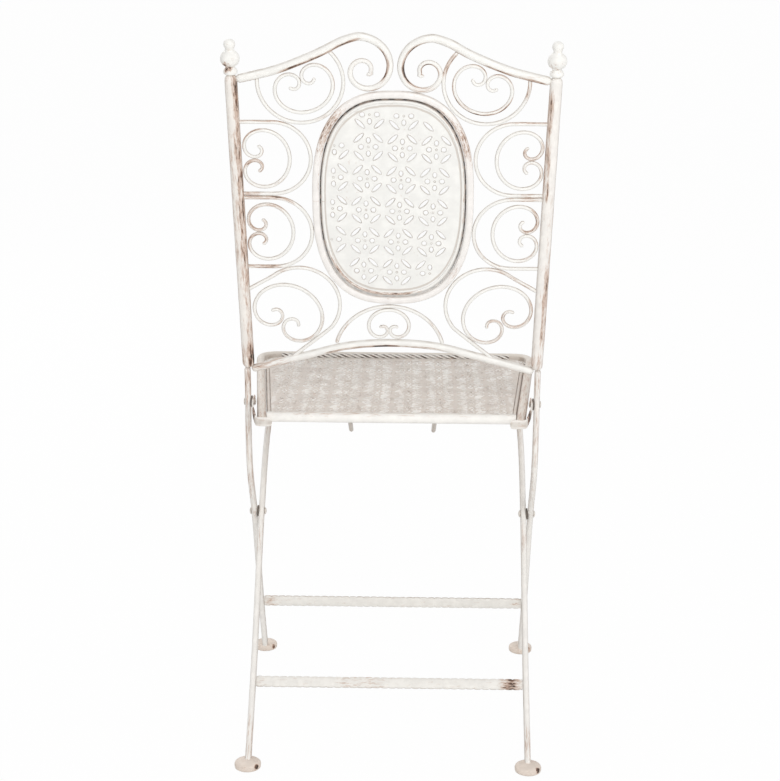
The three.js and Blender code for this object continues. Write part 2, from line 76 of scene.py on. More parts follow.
def addCamera():
    yaw, pitch, roll = camera["yaw"], camera["pitch"], camera["roll"]
    turn = Matrix.Rotation(yaw, 3, "Z")
    ahead = turn @ Vector((0, -math.cos(pitch), -math.sin(pitch)))
    level = turn @ Vector((-1, 0, 0))
    above = level.cross(ahead)
    right = math.cos(roll) * level + math.sin(roll) * above
    up = math.cos(roll) * above - math.sin(roll) * level
    bpy.ops.object.camera_add(location=camera["place"])
    eye = bpy.context.object
    axes = Matrix((right, up, -ahead)).transposed()
    eye.rotation_euler = axes.to_euler()
    eye.data.lens = camera["lens"]
    eye.data.sensor_width = camera["sensor"]
    eye.data.sensor_fit = "HORIZONTAL"
    eye.data.clip_start = 0.05
    bpy.context.scene.camera = eye


def addLamp(name, look):
    bpy.ops.object.light_add(type="AREA", location=look["place"])
    lamp = bpy.context.object
    lamp.name = name
    lamp.data.size = look["size"]
    lamp.data.energy = look["power"]
    towards = Vector(studio["aim"]) - Vector(look["place"])
    lamp.rotation_euler = towards.to_track_quat("-Z", "Y").to_euler()
    lamp.visible_camera = False


# Paint

# Paint: a cream coat, its worn tones, and a brown grey tone that is painted shade along the sides
# of rods
paint = {
    "cream": (0.945, 0.93, 0.895), "thin": (0.56, 0.405, 0.32), "rust": (0.23, 0.125, 0.085),
    "dark": (0.055, 0.042, 0.036), "flank": (0.46, 0.40, 0.345), "sheet": (0.925, 0.915, 0.885),
    "shade": 0.93, "relief": 0.35, "reliefDepth": 0.0004, "specular": 0.35,
    "rough": 0.5, "chippedRough": 0.85, "brushGrain": 90.0, "wearGrain": 240.0,
}
# The noise lies at about .3 to .7, and a material's level lifts it over these thresholds
worn = {
    "thin": (0.57, 0.78), "chip": (0.75, 0.80), "broadShare": 0.72, "fineShare": 0.28,
    "fineGrain": 3.7, "thinDepth": 0.3, "chipDepth": 0.7,
}
# Wear patches on a rod: how soft their ends are along it, and where they set in across it
patchEdge = {"soft": 0.035, "from": -0.1, "full": 0.75}


def fillSockets(tree, node, values):
    for key, value in values.items():
        if isinstance(value, bpy.types.NodeSocket):
            tree.links.new(value, node.inputs[key])
        else:
            node.inputs[key].default_value = value


def addNode(tree, kind, values=None, **settings):
    node = tree.nodes.new("ShaderNode" + kind)
    for key, value in settings.items():
        setattr(node, key, value)
    fillSockets(tree, node, values or {})
    return node


def addMath(tree, operation, first, second=0.0):
    return addNode(tree, "Math", {0: first, 1: second}, operation=operation).outputs[0]


def times(tree, first, *others):
    for other in others:
        first = addMath(tree, "MULTIPLY", first, other)
    return first


def plus(tree, first, second):
    return addMath(tree, "ADD", first, second)


def addRamp(tree, value, low, high, toLow=0.0, toHigh=1.0):
    node = addNode(tree, "MapRange", {
        "Value": value, "From Min": low, "From Max": high, "To Min": toLow, "To Max": toHigh,
    }, interpolation_type="SMOOTHSTEP")
    return node.outputs["Result"]


def addNoise(tree, place, scale, detail, roughness=0.5):
    values = {"Vector": place, "Scale": scale, "Detail": detail, "Roughness": roughness}
    return addNode(tree, "TexNoise", values).outputs["Fac"]


def addMix(tree, share, first, second):
    # Each tone is a socket or a colour of three numbers
    tones = [(*tone, 1) if isinstance(tone, tuple) else tone for tone in (first, second)]
    node = addNode(tree, "Mix", {0: share, 6: tones[0], 7: tones[1]}, data_type="RGBA")
    return node.outputs["Result"]


def outputOf(tree, name):
    return tree.nodes["Group Input"].outputs[name]


def newGroup(name, inputs, outputs):
    group = bpy.data.node_groups.new(name, "ShaderNodeTree")
    for label, kind in inputs:
        group.interface.new_socket(label, in_out="INPUT", socket_type="NodeSocket" + kind)
    for label, kind in outputs:
        group.interface.new_socket(label, in_out="OUTPUT", socket_type="NodeSocket" + kind)
    group.nodes.new("NodeGroupInput")
    group.nodes.new("NodeGroupOutput")
    return group


def sendOut(tree, label, socket):
    tree.links.new(socket, tree.nodes["Group Output"].inputs[label])


def wearGroup():
    # Thin is where the paint is rubbed, Chip where it has gone, Height steps down with both
    tree = newGroup("wornThrough", [("Vector", "Vector"), ("Level", "Float"), ("Grain", "Float")],
                    [("Thin", "Float"), ("Chip", "Float"), ("Height", "Float")])
    place, grain = outputOf(tree, "Vector"), outputOf(tree, "Grain")
    broad = addNoise(tree, place, grain, 5.0, 0.68)
    fine = addNoise(tree, place, times(tree, grain, worn["fineGrain"]), 3.0, 0.6)
    blend = plus(tree, times(tree, broad, worn["broadShare"]), times(tree, fine, worn["fineShare"]))
    lifted = plus(tree, blend, outputOf(tree, "Level"))
    thin = addRamp(tree, lifted, *worn["thin"])
    chip = addRamp(tree, lifted, *worn["chip"])
    lost = plus(tree, times(tree, thin, worn["thinDepth"]), times(tree, chip, worn["chipDepth"]))
    sendOut(tree, "Thin", thin)
    sendOut(tree, "Chip", chip)
    sendOut(tree, "Height", addMath(tree, "SUBTRACT", 1.0, lost))
    return tree


def brushGroup():
    # Slight unevenness of hand-laid paint: a tint mask and a height
    tree = newGroup("brushedCoat", [("Vector", "Vector"), ("Grain", "Float")],
                    [("Tint", "Float"), ("Height", "Float")])
    cloud = addNoise(tree, outputOf(tree, "Vector"), outputOf(tree, "Grain"), 4.0)
    sendOut(tree, "Tint", addRamp(tree, cloud, 0.35, 0.7))
    sendOut(tree, "Height", cloud)
    return tree


groups = {"wear": wearGroup(), "brush": brushGroup()}


def placeGroup(tree, kind, values):
    node = tree.nodes.new("ShaderNodeGroup")
    node.node_tree = groups[kind]
    fillSockets(tree, node, values)
    return node


def readAttribute(tree, name):
    return addNode(tree, "Attribute", attribute_name=name).outputs["Fac"]


def seenRays(tree):
    # 1 for the rays that see a plain white surround: from the camera, and mirrored
    paths = addNode(tree, "LightPath").outputs
    return addMath(tree, "MAXIMUM", paths["Is Camera Ray"], paths["Is Glossy Ray"])


def setWorld():
    world = bpy.data.worlds.new("studioWorld")
    bpy.context.scene.world = world
    world.use_nodes = True
    tree = world.node_tree
    shade = tree.nodes["Background"]
    level = addNode(tree, "MapRange", {
        "Value": seenRays(tree), "To Min": studio["world"], "To Max": 1.0,
    })
    fillSockets(tree, shade, {"Color": (1, 1, 1, 1), "Strength": level.outputs["Result"]})


def addFloor():
    place = (0, 0, studio["floorLevel"])
    bpy.ops.mesh.primitive_plane_add(size=studio["floorSize"], location=place)
    floor = bpy.context.object
    floor.name = "studioFloor"
    material = bpy.data.materials.new("studioFloorPaint")
    material.use_nodes = True
    tree = material.node_tree
    surface = tree.nodes["Principled BSDF"]
    fillSockets(tree, surface, {
        "Base Color": (*studio["floor"], 1), "Roughness": 0.9, "Specular IOR Level": 0.1,
    })
    white = addNode(tree, "Emission", {"Strength": 1.0})
    share = times(tree, seenRays(tree), studio["floorWhite"])
    mix = addNode(tree, "MixShader", {0: share, 1: surface.outputs[0], 2: white.outputs[0]})
    tree.links.new(mix.outputs[0], tree.nodes["Material Output"].inputs["Surface"])
    floor.data.materials.append(material)


def patchLevel(tree, along, across, patch):
    # A stretch of a rod that is worn more: from and to as shares of its length,
    # on the side of it that across points to, or all round when side is 0
    start, end, gain, side = patch
    soft = patchEdge["soft"]
    rise = addRamp(tree, along, start - soft, start + soft)
    fall = addRamp(tree, along, end - soft, end + soft, 1.0, 0.0)
    level = times(tree, rise, fall, gain)
    if side == 0:
        return level
    turned = times(tree, across, float(side))
    return times(tree, level, addRamp(tree, turned, patchEdge["from"], patchEdge["full"]))


def spotLevel(tree, place, spot):
    centre, radius, gain = spot
    far = addNode(tree, "VectorMath", {0: place, 1: centre}, operation="DISTANCE")
    return addRamp(tree, far.outputs["Value"], radius * 0.35, radius, gain, 0.0)


def rodGrain(tree, look, across):
    # Where a rod's wear is sampled: drawn out along it, and with a start of its own
    reach = look.get("bar", 0.006)
    outwards = "across" if look.get("lying") else "rear"
    grain = addNode(tree, "CombineXYZ", {
        "X": times(tree, readAttribute(tree, "run"), look.get("streak", 0.3)),
        "Y": times(tree, across, reach), "Z": times(tree, readAttribute(tree, outwards), reach),
    })
    start = (look["seed"],) * 3
    return addNode(tree, "VectorMath", {0: grain.outputs["Vector"], 1: start}).outputs["Vector"]


def paintedLightMask(tree, look, across):
    # Where painted light goes: a rod's flanks, which take painted shade along its sides, or
    # whatever the look's own mask marks
    if "mask" in look:
        return addRamp(tree, readAttribute(tree, look["mask"]), *look.get("maskRange", (0.0, 1.0)))
    if across is not None:
        return addRamp(tree, addMath(tree, "ABSOLUTE", across), look.get("core", 0.68), 0.98)
    return None


def coatTone(tree, look, place, across, brush, wear):
    coat = look.get("coat", paint["cream"])
    shaded = tuple(value * paint["shade"] for value in coat)
    tint = brush.outputs["Tint"]
    tone = addMix(tree, tint, shaded, coat)
    # Painted light: the mask lays a tone of painted shade over the coat, and on the seat sheet's
    # lips a painted highlight
    flank = paintedLightMask(tree, look, across)
    if flank is not None:
        share = times(tree, flank, look.get("flank", 0.5), addRamp(tree, tint, 0.0, 1.0, 0.45, 1.0))
        tone = addMix(tree, share, tone, look.get("flankTone", paint["flank"]))
    tone = addMix(tree, wear.outputs["Thin"], tone, look.get("thin", paint["thin"]))
    steel = addMix(tree, tint, paint["dark"], paint["rust"])
    tone = addMix(tree, wear.outputs["Chip"], tone, steel)
    for mark in look.get("marks", []):
        tone = mark(tree, place, tone)
    return tone


def paintMaterial(name, look):
    # One coat of cream over an undercoat over rusting steel; look says where it is worn, and where
    # shade and highlights are painted on
    material = bpy.data.materials.new(name)
    material.use_nodes = True
    tree = material.node_tree
    place = addNode(tree, "TexCoord").outputs["Object"]
    level, grainPlace, across = look.get("wear", 0.0), place, None
    if "seed" in look:
        # A lying bar has its painted side shade and its wear patches on the sides that its normal
        # points to
        along = readAttribute(tree, "along")
        across = readAttribute(tree, "rear" if look.get("lying") else "across")
        grainPlace = rodGrain(tree, look, across)
        for patch in look.get("patches", []):
            level = plus(tree, level, patchLevel(tree, along, across, patch))
    for spot in look.get("spots", []):
        level = plus(tree, level, spotLevel(tree, place, spot))
    brush = placeGroup(tree, "brush", {
        "Vector": place, "Grain": look.get("brush", paint["brushGrain"]),
    })
    wear = placeGroup(tree, "wear", {
        "Vector": grainPlace, "Level": level, "Grain": look.get("grain", paint["wearGrain"]),
    })
    height = plus(tree, wear.outputs["Height"], times(tree, brush.outputs["Height"], 0.5))
    relief = addNode(tree, "Bump", {
        "Height": height, "Strength": paint["relief"], "Distance": paint["reliefDepth"],
    })
    rough = look.get("rough", paint["rough"])
    fillSockets(tree, tree.nodes["Principled BSDF"], {
        "Base Color": coatTone(tree, look, place, across, brush, wear),
        "Roughness": addRamp(tree, wear.outputs["Chip"], 0.0, 1.0, rough, paint["chippedRough"]),
        "Specular IOR Level": paint["specular"], "Normal": relief.outputs["Normal"],
    })
    return material


# Paths

def throughPoints(points, step=0.002):
    # A centripetal Catmull-Rom curve through the points
    first = points[0] * 2 - points[1]
    last = points[-1] * 2 - points[-2]
    chain = [first, *points, last]
    path = [points[0]]
    for p0, p1, p2, p3 in zip(chain, chain[1:], chain[2:], chain[3:]):
        d0, d1, d2 = ((b - a).length ** 0.5 for a, b in ((p0, p1), (p1, p2), (p2, p3)))
        m1 = ((p1 - p0) / d0 - (p2 - p0) / (d0 + d1) + (p2 - p1) / d1) * d1
        m2 = ((p2 - p1) / d1 - (p3 - p1) / (d1 + d2) + (p3 - p2) / d2) * d1
        count = max(1, round((p2 - p1).length / step))
        for i in range(1, count + 1):
            t = i / count
            path.append(p1 * (2 * t ** 3 - 3 * t ** 2 + 1) + m1 * (t ** 3 - 2 * t ** 2 + t)
                        + p2 * (3 * t ** 2 - 2 * t ** 3) + m2 * (t ** 3 - t ** 2))
    return path


def straight(start, end, step=0.004):
    count = max(2, round((end - start).length / step))
    return [start.lerp(end, i / count) for i in range(count + 1)]


def acrossChair(half, y, z, step=0.004):
    return straight(Vector((half, y, z)), Vector((-half, y, z)), step)


def curl(u, v, heading, radius, turn, shrink, quicken=0.0, hand=1, steps=90):
    # A run in the plane of the back that curls ever tighter
    points = [Vector((u, v))]
    step = turn / steps
    angle = heading
    for i in range(steps):
        turned = (i + 0.5) * step
        bend = radius * math.exp(-shrink * turned - quicken * turned * turned)
        middle = angle + hand * step / 2
        chord = 2 * bend * math.sin(step / 2)
        points.append(points[-1] + chord * Vector((math.cos(middle), math.sin(middle))))
        angle += hand * step
    return points


def scrollPath(u, v, opens, radius, turn=8.0, shrink=0.3):
    # A C-scroll: two equal curls that run away from the middle of its back
    quarter = math.pi / 2
    first = curl(u, v, opens + quarter, radius, turn, shrink, hand=-1)
    second = curl(u, v, opens - quarter, radius, turn, shrink, hand=1)
    return [onBack(*p) for p in [*reversed(first), *second[1:]]]


def arc(u, v, radius, start, end, count):
    angles = [math.radians(start + (end - start) * i / count) for i in range(count + 1)]
    return [(u + radius * math.cos(a), v + radius * math.sin(a)) for a in angles]


def mirrored(side, points):
    return [onBack(side * u, v) for u, v in points]


# Bars and rods

def makeActive(obj):
    bpy.ops.object.select_all(action="DESELECT")
    obj.select_set(True)
    bpy.context.view_layer.objects.active = obj


def addObject(name, data):
    obj = bpy.data.objects.new(name, data)
    bpy.context.collection.objects.link(obj)
    makeActive(obj)
    return obj


def meshOfCurve(name, line):
    addObject(name, line)
    bpy.ops.object.convert(target="MESH")
    return bpy.context.object


def weld(distance, turnOut=True):
    bpy.ops.object.mode_set(mode="EDIT")
    bpy.ops.mesh.select_all(action="SELECT")
    bpy.ops.mesh.remove_doubles(threshold=distance)
    if turnOut:
        bpy.ops.mesh.normals_make_consistent(inside=False)
    bpy.ops.object.mode_set(mode="OBJECT")


def setAttribute(piece, name, values):
    piece.data.attributes.new(name, "FLOAT", "POINT").data.foreach_set("value", values)


def addLoop(line, points, height=0.0, closed=True):
    spline = line.splines.new("POLY")
    spline.points.add(len(points) - 1)
    for point, place in zip(spline.points, points):
        point.co = (place[0], place[1], place[2] if len(place) > 2 else height, 1)
    spline.use_cyclic_u = closed


def roundedEnds(points, radius):
    # Extra points close to each end, so that the ends can be rounded off
    steps = (0.08, 0.3, 0.65, 1.1)
    ahead = (points[1] - points[0]).normalized()
    behind = (points[-2] - points[-1]).normalized()
    start = [points[0] + ahead * radius * s for s in (0.0, *steps)]
    finish = [points[-1] + behind * radius * s for s in (*reversed(steps), 0.0)]
    inner = [p for p in points
             if min((p - points[0]).length, (p - points[-1]).length) > 1.3 * radius]
    return [*start, *inner, *finish]


bars = {
    # Half the width of the thread that is swept and then grown to the bar's section
    "thread": 0.0002, "weld": 0.00001, "leastEnd": 0.12, "unevenGrain": 70,
    # How much farther a square bar's corners reach than its sides
    "corner": 0.26,
}


def sweepThread(name, points, closed, sides):
    line = bpy.data.curves.new(name, "CURVE")
    line.dimensions = "3D"
    addLoop(line, points, closed=closed)
    line.bevel_depth = bars["thread"]
    line.bevel_resolution = sides // 2 - 2
    line.use_fill_caps = not closed
    bar = meshOfCurve(name, line)
    weld(bars["weld"])
    return bar


def framesAlong(points, normal, closed):
    # At each point, its run from the start and the bar's left
    count = len(points)
    frames, run = [], 0.0
    for i in range(count):
        before = points[i - 1] if i or closed else points[0]
        after = points[(i + 1) % count] if i < count - 1 or closed else points[-1]
        ahead = (after - before).normalized()
        run += (points[i] - points[i - 1]).length if i else 0.0
        frames.append((run, normal.cross(ahead).normalized()))
    return frames


def endScale(run, total, radius, full):
    # The quarter round at each end of a bar
    near = min(run, total - run) / radius
    if near >= 1:
        return 1.0
    inset = radius * (1 - math.sqrt(max(0.0, 1 - (1 - near) ** 2)))
    return max(bars["leastEnd"], 1 - inset / full)


def barAlong(name, points, normal, wide, deep=None, closed=False, taper=None, square=2.0,
             uneven=0.02, sides=16, endRound=None, twist=0.0):
    # A bar swept along points that lie in a plane with that normal. wide is its half width
    # in the plane, deep its half depth out of it; square above 2 flattens its four sides.
    # endRound is the radius of its end corners, twist its turning in radians a metre
    deep = deep or wide
    endRadius = endRound or max(wide, deep)
    if not closed:
        points = roundedEnds(points, endRadius)
    bar = sweepThread(name, points, closed, sides)
    frames = framesAlong(points, normal, closed)
    total = frames[-1][0]
    tree = kdtree.KDTree(len(points))
    for i, place in enumerate(points):
        tree.insert(place, i)
    tree.balance()
    facts = {"along": [], "run": [], "across": [], "rear": [], "hollow": []}
    for vertex in bar.data.vertices:
        _, i, _ = tree.find(vertex.co)
        run, left = frames[i]
        offset = vertex.co - points[i]
        a, b = offset.dot(left), offset.dot(normal)
        size = math.hypot(a, b)
        if size > bars["thread"] * 0.3:
            a, b = a / size, b / size
            angle = math.atan2(b, a) - twist * run
            stretch = (abs(math.cos(angle)) ** square + abs(math.sin(angle)) ** square)
            stretch **= -1 / square
        else:
            a = b = stretch = 0.0
        scale = taper(run / total) if taper else 1.0
        if not closed:
            scale *= endScale(run, total, endRadius, max(wide, deep))
        scale *= 1 + uneven * noise.noise(points[i] * bars["unevenGrain"] + Vector((a, b, 0)))
        vertex.co = points[i] + (left * a * wide + normal * b * deep) * stretch * scale
        hollow = 1 - (stretch - 1) / bars["corner"]
        for key, value in zip(facts, (run / total, run, a, b, hollow)):
            facts[key].append(value)
    for key, values in facts.items():
        setAttribute(bar, key, values)
    bpy.ops.object.shade_smooth()
    return bar


def finishPiece(piece, body, material, node):
    piece.data.materials.clear()
    piece.data.materials.append(material)
    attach(piece, body)
    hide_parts(node)


def paintPiece(piece, node, paintName, look, body="back_frame"):
    finishPiece(piece, body, paintMaterial(paintName, look), node)


# Studio first, so that the scene has its camera and lamps before any piece

bpy.context.scene.view_settings.view_transform = "Standard"
addCamera()
setWorld()
addFloor()
addLamp("keyLamp", studio["key"])
addLamp("fillLamp", studio["fill"])
print("studio done")


# Uprights, rails and finials

# A patch is (from, to, gain, side): shares of the length, and the side across the bar
uprights = {
    "radius": 0.008, "low": -0.041, "high": 0.3685, "square": 2.4,
    "left": {"seed": 1.0, "streak": 0.16, "bar": 0.010, "wear": 0.06, "flank": 0.7,
             "coat": (0.93, 0.885, 0.835),
             "patches": [(0.0, 1.0, 0.10, -1.8), (0.3, 0.85, 0.06, 0), (0.88, 1.0, 0.12, -1),
                         (0.0, 0.09, 0.14, 0)]},
    "right": {"seed": 3.0, "streak": 0.16, "bar": 0.010, "wear": 0.03, "flank": 0.7,
              "coat": (0.935, 0.90, 0.86),
              "patches": [(0.60, 0.95, 0.17, 3), (0.1, 0.38, 0.19, -3), (0.0, 0.06, 0.12, 0),
                          (0.38, 0.6, 0.08, -1)]},
}


def buildUprights():
    for name, side in sides.items():
        low, high = uprights["low"], uprights["high"]
        path = straight(onBack(side * stileAt(low), low), onBack(side * stileAt(high), high))
        bar = barAlong("stileBar_" + name, path, backNormal, uprights["radius"] * snug,
                       square=uprights["square"], uneven=0.015)
        paintPiece(bar, "stile_" + name, "stilePaint_" + name, uprights[name])


finialShape = {
    # radius and height, from the collar up to the ball
    "profile": [(0.0, 0.0), (0.0076, 0.0), (0.0086, 0.0010), (0.0089, 0.0032), (0.0083, 0.0054),
                (0.0063, 0.0070), (0.0059, 0.0090), (0.0072, 0.0106), (0.0098, 0.0126),
                (0.0117, 0.0160), (0.0122, 0.0198), (0.0113, 0.0236), (0.0090, 0.0268),
                (0.0062, 0.0290), (0.0052, 0.0306), (0.0056, 0.0325), (0.0068, 0.0350),
                (0.0073, 0.0378), (0.0066, 0.0406), (0.0047, 0.0428), (0.0022, 0.0438),
                (0.0, 0.0439)],
    "look": {"wear": 0.02, "grain": 200.0, "brush": 120.0},
    "stain": {"left": 0.21, "right": 0.08},
}


def spinProfile(name, profile, steps=40):
    # Turned on a lathe: the profile stands in the XZ plane and is spun about Z
    mesh = bpy.data.meshes.new(name)
    points = [(r, 0, h) for r, h in profile]
    mesh.from_pydata(points, [(i, i + 1) for i in range(len(points) - 1)], [])
    piece = addObject(name, mesh)
    bpy.ops.object.mode_set(mode="EDIT")
    bpy.ops.mesh.select_all(action="SELECT")
    bpy.ops.mesh.spin(steps=steps, angle=2 * math.pi, center=(0, 0, 0), axis=(0, 0, 1))
    bpy.ops.object.mode_set(mode="OBJECT")
    weld(0.00002)
    bpy.ops.object.shade_smooth()
    return piece


def placeMesh(piece, matrix):
    piece.data.transform(matrix)
    piece.data.update()


def buildFinials():
    for name, side in sides.items():
        piece = spinProfile("finialTurning_" + name, finialShape["profile"])
        foot = onBack(side * stileAt(uprights["high"]), uprights["high"] + 0.0003)
        placeMesh(piece, Matrix.Translation(foot) @ Matrix.Rotation(-back["rake"], 4, "X"))
        neck = (foot.x + 0.004, foot.y + 0.008, foot.z + 0.010)
        look = {**finialShape["look"], "spots": [(neck, 0.012, finialShape["stain"][name])]}
        paintPiece(piece, "finial_" + name, "finialPaint_" + name, look)


topRail = {
    "thick": 0.0056, "tip": 0.0029, "low": 0.3615, "intoUpright": 0.006,
    "curl": {"radius": 0.0443, "turn": 9.2, "shrink": 0.184, "quicken": 0.002},
    "shoulder": (0.0198, -0.0063),
    "apex": {"left": (0.0442, 0.4175), "right": (0.049, 0.4158)},
    "rise": [(0.172, 0.3672), (0.144, 0.3748), (0.093, 0.396)],
    "left": {"seed": 5.0, "streak": 0.12, "flank": 0.7,
             "patches": [(0.16, 0.46, 0.27, -1.3), (0.54, 0.70, 0.26, -1.2), (0.0, 0.16, 0.1, -1),
                         (0.72, 0.78, 0.22, 1), (0.84, 1.0, 0.06, 0)]},
    "right": {"seed": 7.0, "streak": 0.12, "wear": 0.01, "flank": 0.7,
              "patches": [(0.0, 0.2, 0.22, 1.3), (0.2, 0.26, 0.28, 1), (0.5, 0.7, 0.26, 1.1),
                          (0.3, 0.5, 0.12, 1), (0.70, 0.8, 0.14, 0), (0.84, 1.0, 0.22, 1)]},
}


def smoothStep(value, low, high):
    t = min(1.0, max(0.0, (value - low) / (high - low)))
    return t * t * (3 - 2 * t)


def buildTopRails():
    slim = topRail["tip"] / topRail["thick"]
    for name, side in sides.items():
        u, v = topRail["apex"][name]
        tail = curl(u, v, math.pi, **topRail["curl"])
        low, (aside, below) = topRail["low"], topRail["shoulder"]
        start = [(stileAt(low) - topRail["intoUpright"], low), *topRail["rise"],
                 (u + aside, v + below)]
        path = throughPoints(mirrored(side, [*start, *tail]))
        bar = barAlong("topRailBar_" + name, path, backNormal, topRail["thick"],
                       taper=lambda share: 1 - (1 - slim) * smoothStep(share, 0.3, 1))
        paintPiece(bar, "top_rail_" + name, "topRailPaint_" + name, topRail[name])


bottomRail = {
    "radius": 0.0054, "half": [(0.060, -0.0075), (0.112, -0.0215)], "middle": -0.0025,
    "end": -0.0435, "intoUpright": 0.004,
    "look": {"seed": 9.0, "streak": 0.14, "flank": 0.6,
             "patches": [(0.0, 0.14, 0.14, 0), (0.24, 0.5, 0.21, -3), (0.45, 0.66, 0.20, -3),
                         (0.0, 0.03, 0.06, 0), (0.9, 1.0, 0.08, -1)]},
}


def buildBottomRail():
    end = bottomRail["end"]
    half = [*bottomRail["half"], (stileAt(end) - bottomRail["intoUpright"], end)]
    line = [*reversed(half), (0, bottomRail["middle"]), *[(-u, v) for u, v in half]]
    bar = barAlong("bottomRailBar", throughPoints(mirrored(1, line)), backNormal,
                   bottomRail["radius"])
    paintPiece(bar, "bottom_rail", "bottomRailPaint", bottomRail["look"])


# Scrollwork

scrollwork = {
    "radius": 0.0025, "tip": 0.85,
    "scrolls": {
        "corner": (0.099, 0.322, 68, 0.0435), "upper": (0.1306, 0.257, 0, 0.045),
        "lower": (0.1282, 0.1565, 0, 0.045), "bottom": (0.1154, 0.073, -57, 0.055),
    },
    "centre": (0.005, 0.0462, -90, 0.0314),
    "look": {"streak": 0.2, "bar": 0.004, "wear": -0.02, "core": 0.5,
             "flank": 0.9},
    "patches": {
        "corner_left": [(0.2, 0.36, 0.16, 1)],
        "corner_right": [(0.1, 0.9, 0.17, 1), (0.3, 0.6, 0.14, 0)],
        "upper_left": [(0.0, 0.3, 0.2, 1), (0.85, 1.0, 0.2, 0), (0.6, 0.8, 0.12, 0)],
        "upper_right": [(0.8, 1.0, 0.2, 0), (0.0, 0.2, 0.14, 0)],
        "lower_left": [(0.0, 0.4, 0.2, 0), (0.8, 1.0, 0.2, 0)],
        "lower_right": [(0.75, 0.95, 0.2, 0), (0.1, 0.3, 0.12, 0)],
        "bottom_left": [(0.0, 0.2, 0.14, 0), (0.6, 0.9, 0.14, 0)],
        "bottom_right": [(0.0, 0.3, 0.16, 0), (0.7, 1.0, 0.18, 0)],
        "centre_scroll": [(0.0, 0.15, 0.12, 0), (0.7, 0.9, 0.12, 0)],
    },
    "archPatches": {
        "upper_left": [(0.0, 0.25, 0.22, 1), (0.9, 1.0, 0.2, 0)],
        "upper_right": [(0.0, 0.25, 0.2, -1), (0.85, 1.0, 0.15, 0)],
        "lower_left": [(0.0, 0.3, 0.2, 0), (0.8, 1.0, 0.22, 0)],
        "lower_right": [(0.0, 0.2, 0.18, 0), (0.5, 0.8, 0.1, 0)],
        "corner_left": [(0.5, 0.6, 0.1, 0)],
        "corner_right": [(0.82, 1.0, 0.22, 0), (0.0, 0.14, 0.2, 0)],
        "bottom_left": [(0.1, 0.4, 0.12, 0)], "bottom_right": [(0.0, 0.3, 0.16, 0)],
        "centre": [(0.0, 0.2, 0.14, 0), (0.8, 1.0, 0.1, 0)],
    },
}


# An arc is (across, up, radius, from, to in degrees, steps)
arches = {
    "intoUpright": 0.006, "side": (0.0482, 0.1522), "upper": 0.2578, "lower": 0.1558,
    "corner": (0.1155, 0.359, 0.0535, 5, -227, 40), "bottom": (0.1223, 0.0532, 0.053, 52, 218, 28),
    "bottomEnds": (0.075, 0.0745), "bottomFoot": [(0.121, -0.014), (0.133, -0.024)],
    "centre": (0.004, -0.021, 0.0726, 14, 166, 30),
}


def rodLook(seed, patches):
    return {**scrollwork["look"], "seed": seed, "patches": patches}


def buildScroll(name, node, spec, side, seed, **shape):
    u, v, opens, radius = spec
    angle = math.radians(opens if side > 0 else 180 - opens)
    path = scrollPath(side * u, v, angle, radius, **shape)
    tip = scrollwork["tip"]
    bar = barAlong("scrollBar_" + name, path, backNormal, scrollwork["radius"], sides=12,
                   taper=lambda share: 1 - (1 - tip) * abs(2 * share - 1) ** 3)
    paintPiece(bar, node, "scrollPaint_" + name, rodLook(seed, scrollwork["patches"][name]))


def sideArch(side, middle):
    reach, turnAt = arches["side"]
    bow = arc(turnAt, middle, reach, 90, 270, 24)
    ends = [(stileAt(v) - arches["intoUpright"], v) for v in (middle + reach, middle - reach)]
    return throughPoints(mirrored(side, [ends[0], *bow, ends[1]]))


def bottomArch(side):
    high, end = arches["bottomEnds"]
    start = (stileAt(high) - arches["intoUpright"], end)
    return throughPoints(mirrored(side, [start, *arc(*arches["bottom"]), *arches["bottomFoot"]]))


def buildArch(name, node, path, seed):
    bar = barAlong("archBar_" + name, path, backNormal, scrollwork["radius"], sides=12)
    paintPiece(bar, node, "archPaint_" + name, rodLook(seed, scrollwork["archPatches"][name]))


def buildScrollwork():
    seed, seedStep = 20.0, 1.7
    for name, side in sides.items():
        for place, spec in scrollwork["scrolls"].items():
            label = place + "_" + name
            buildScroll(label, place + "_scroll_" + name, spec, side, seed)
            seed += seedStep
        paths = {"corner": throughPoints(mirrored(side, arc(*arches["corner"]))),
                 "upper": sideArch(side, arches["upper"]),
                 "lower": sideArch(side, arches["lower"]), "bottom": bottomArch(side)}
        for place, path in paths.items():
            buildArch(place + "_" + name, place + "_arch_" + name, path, seed)
            seed += seedStep
    buildScroll("centre_scroll", "centre_scroll", scrollwork["centre"], 1, seed, turn=7.6)
    middle = throughPoints(mirrored(1, arc(*arches["centre"])))
    buildArch("centre", "centre_arch", middle, seed + seedStep)


# The oval: ring, inner rod and pierced sheet

oval = {
    "halfWidth": 0.1032, "halfHeight": 0.146, "middle": 0.202, "power": 2.6,
    "ring": 0.0094, "rodInset": 0.012, "rod": 0.004,
}


def superEllipse(inset, count):
    wide, high = oval["halfWidth"] - inset, oval["halfHeight"] - inset
    points = []
    for i in range(count):
        angle = 2 * math.pi * i / count
        c, s = math.cos(angle), math.sin(angle)
        reach = (abs(c / wide) ** oval["power"] + abs(s / high) ** oval["power"])
        reach **= -1 / oval["power"]
        points.append((reach * c, reach * s))
    return points


ringLook = {
    "seed": 60.0, "streak": 0.5, "bar": 0.010, "wear": -0.03,
    "coat": (0.95, 0.915, 0.885), "grain": 300.0,
    "patches": [(0.08, 0.17, 0.23, 0), (0.0, 0.07, 0.12, -1), (0.30, 0.36, 0.24, -1),
                (0.36, 0.44, 0.22, 0), (0.60, 0.66, 0.14, 0), (0.74, 0.78, 0.16, -1)],
}
# The inner rod's flanks take a near black tone: painted shadow in the grooves beside it
innerRodLook = {
    "seed": 64.0, "bar": 0.004, "wear": 0.02, "flank": 0.9,
    "flankTone": (0.10, 0.08, 0.07), "patches": [(0.3, 0.6, 0.14, 1), (0.7, 0.9, 0.2, 0)],
}


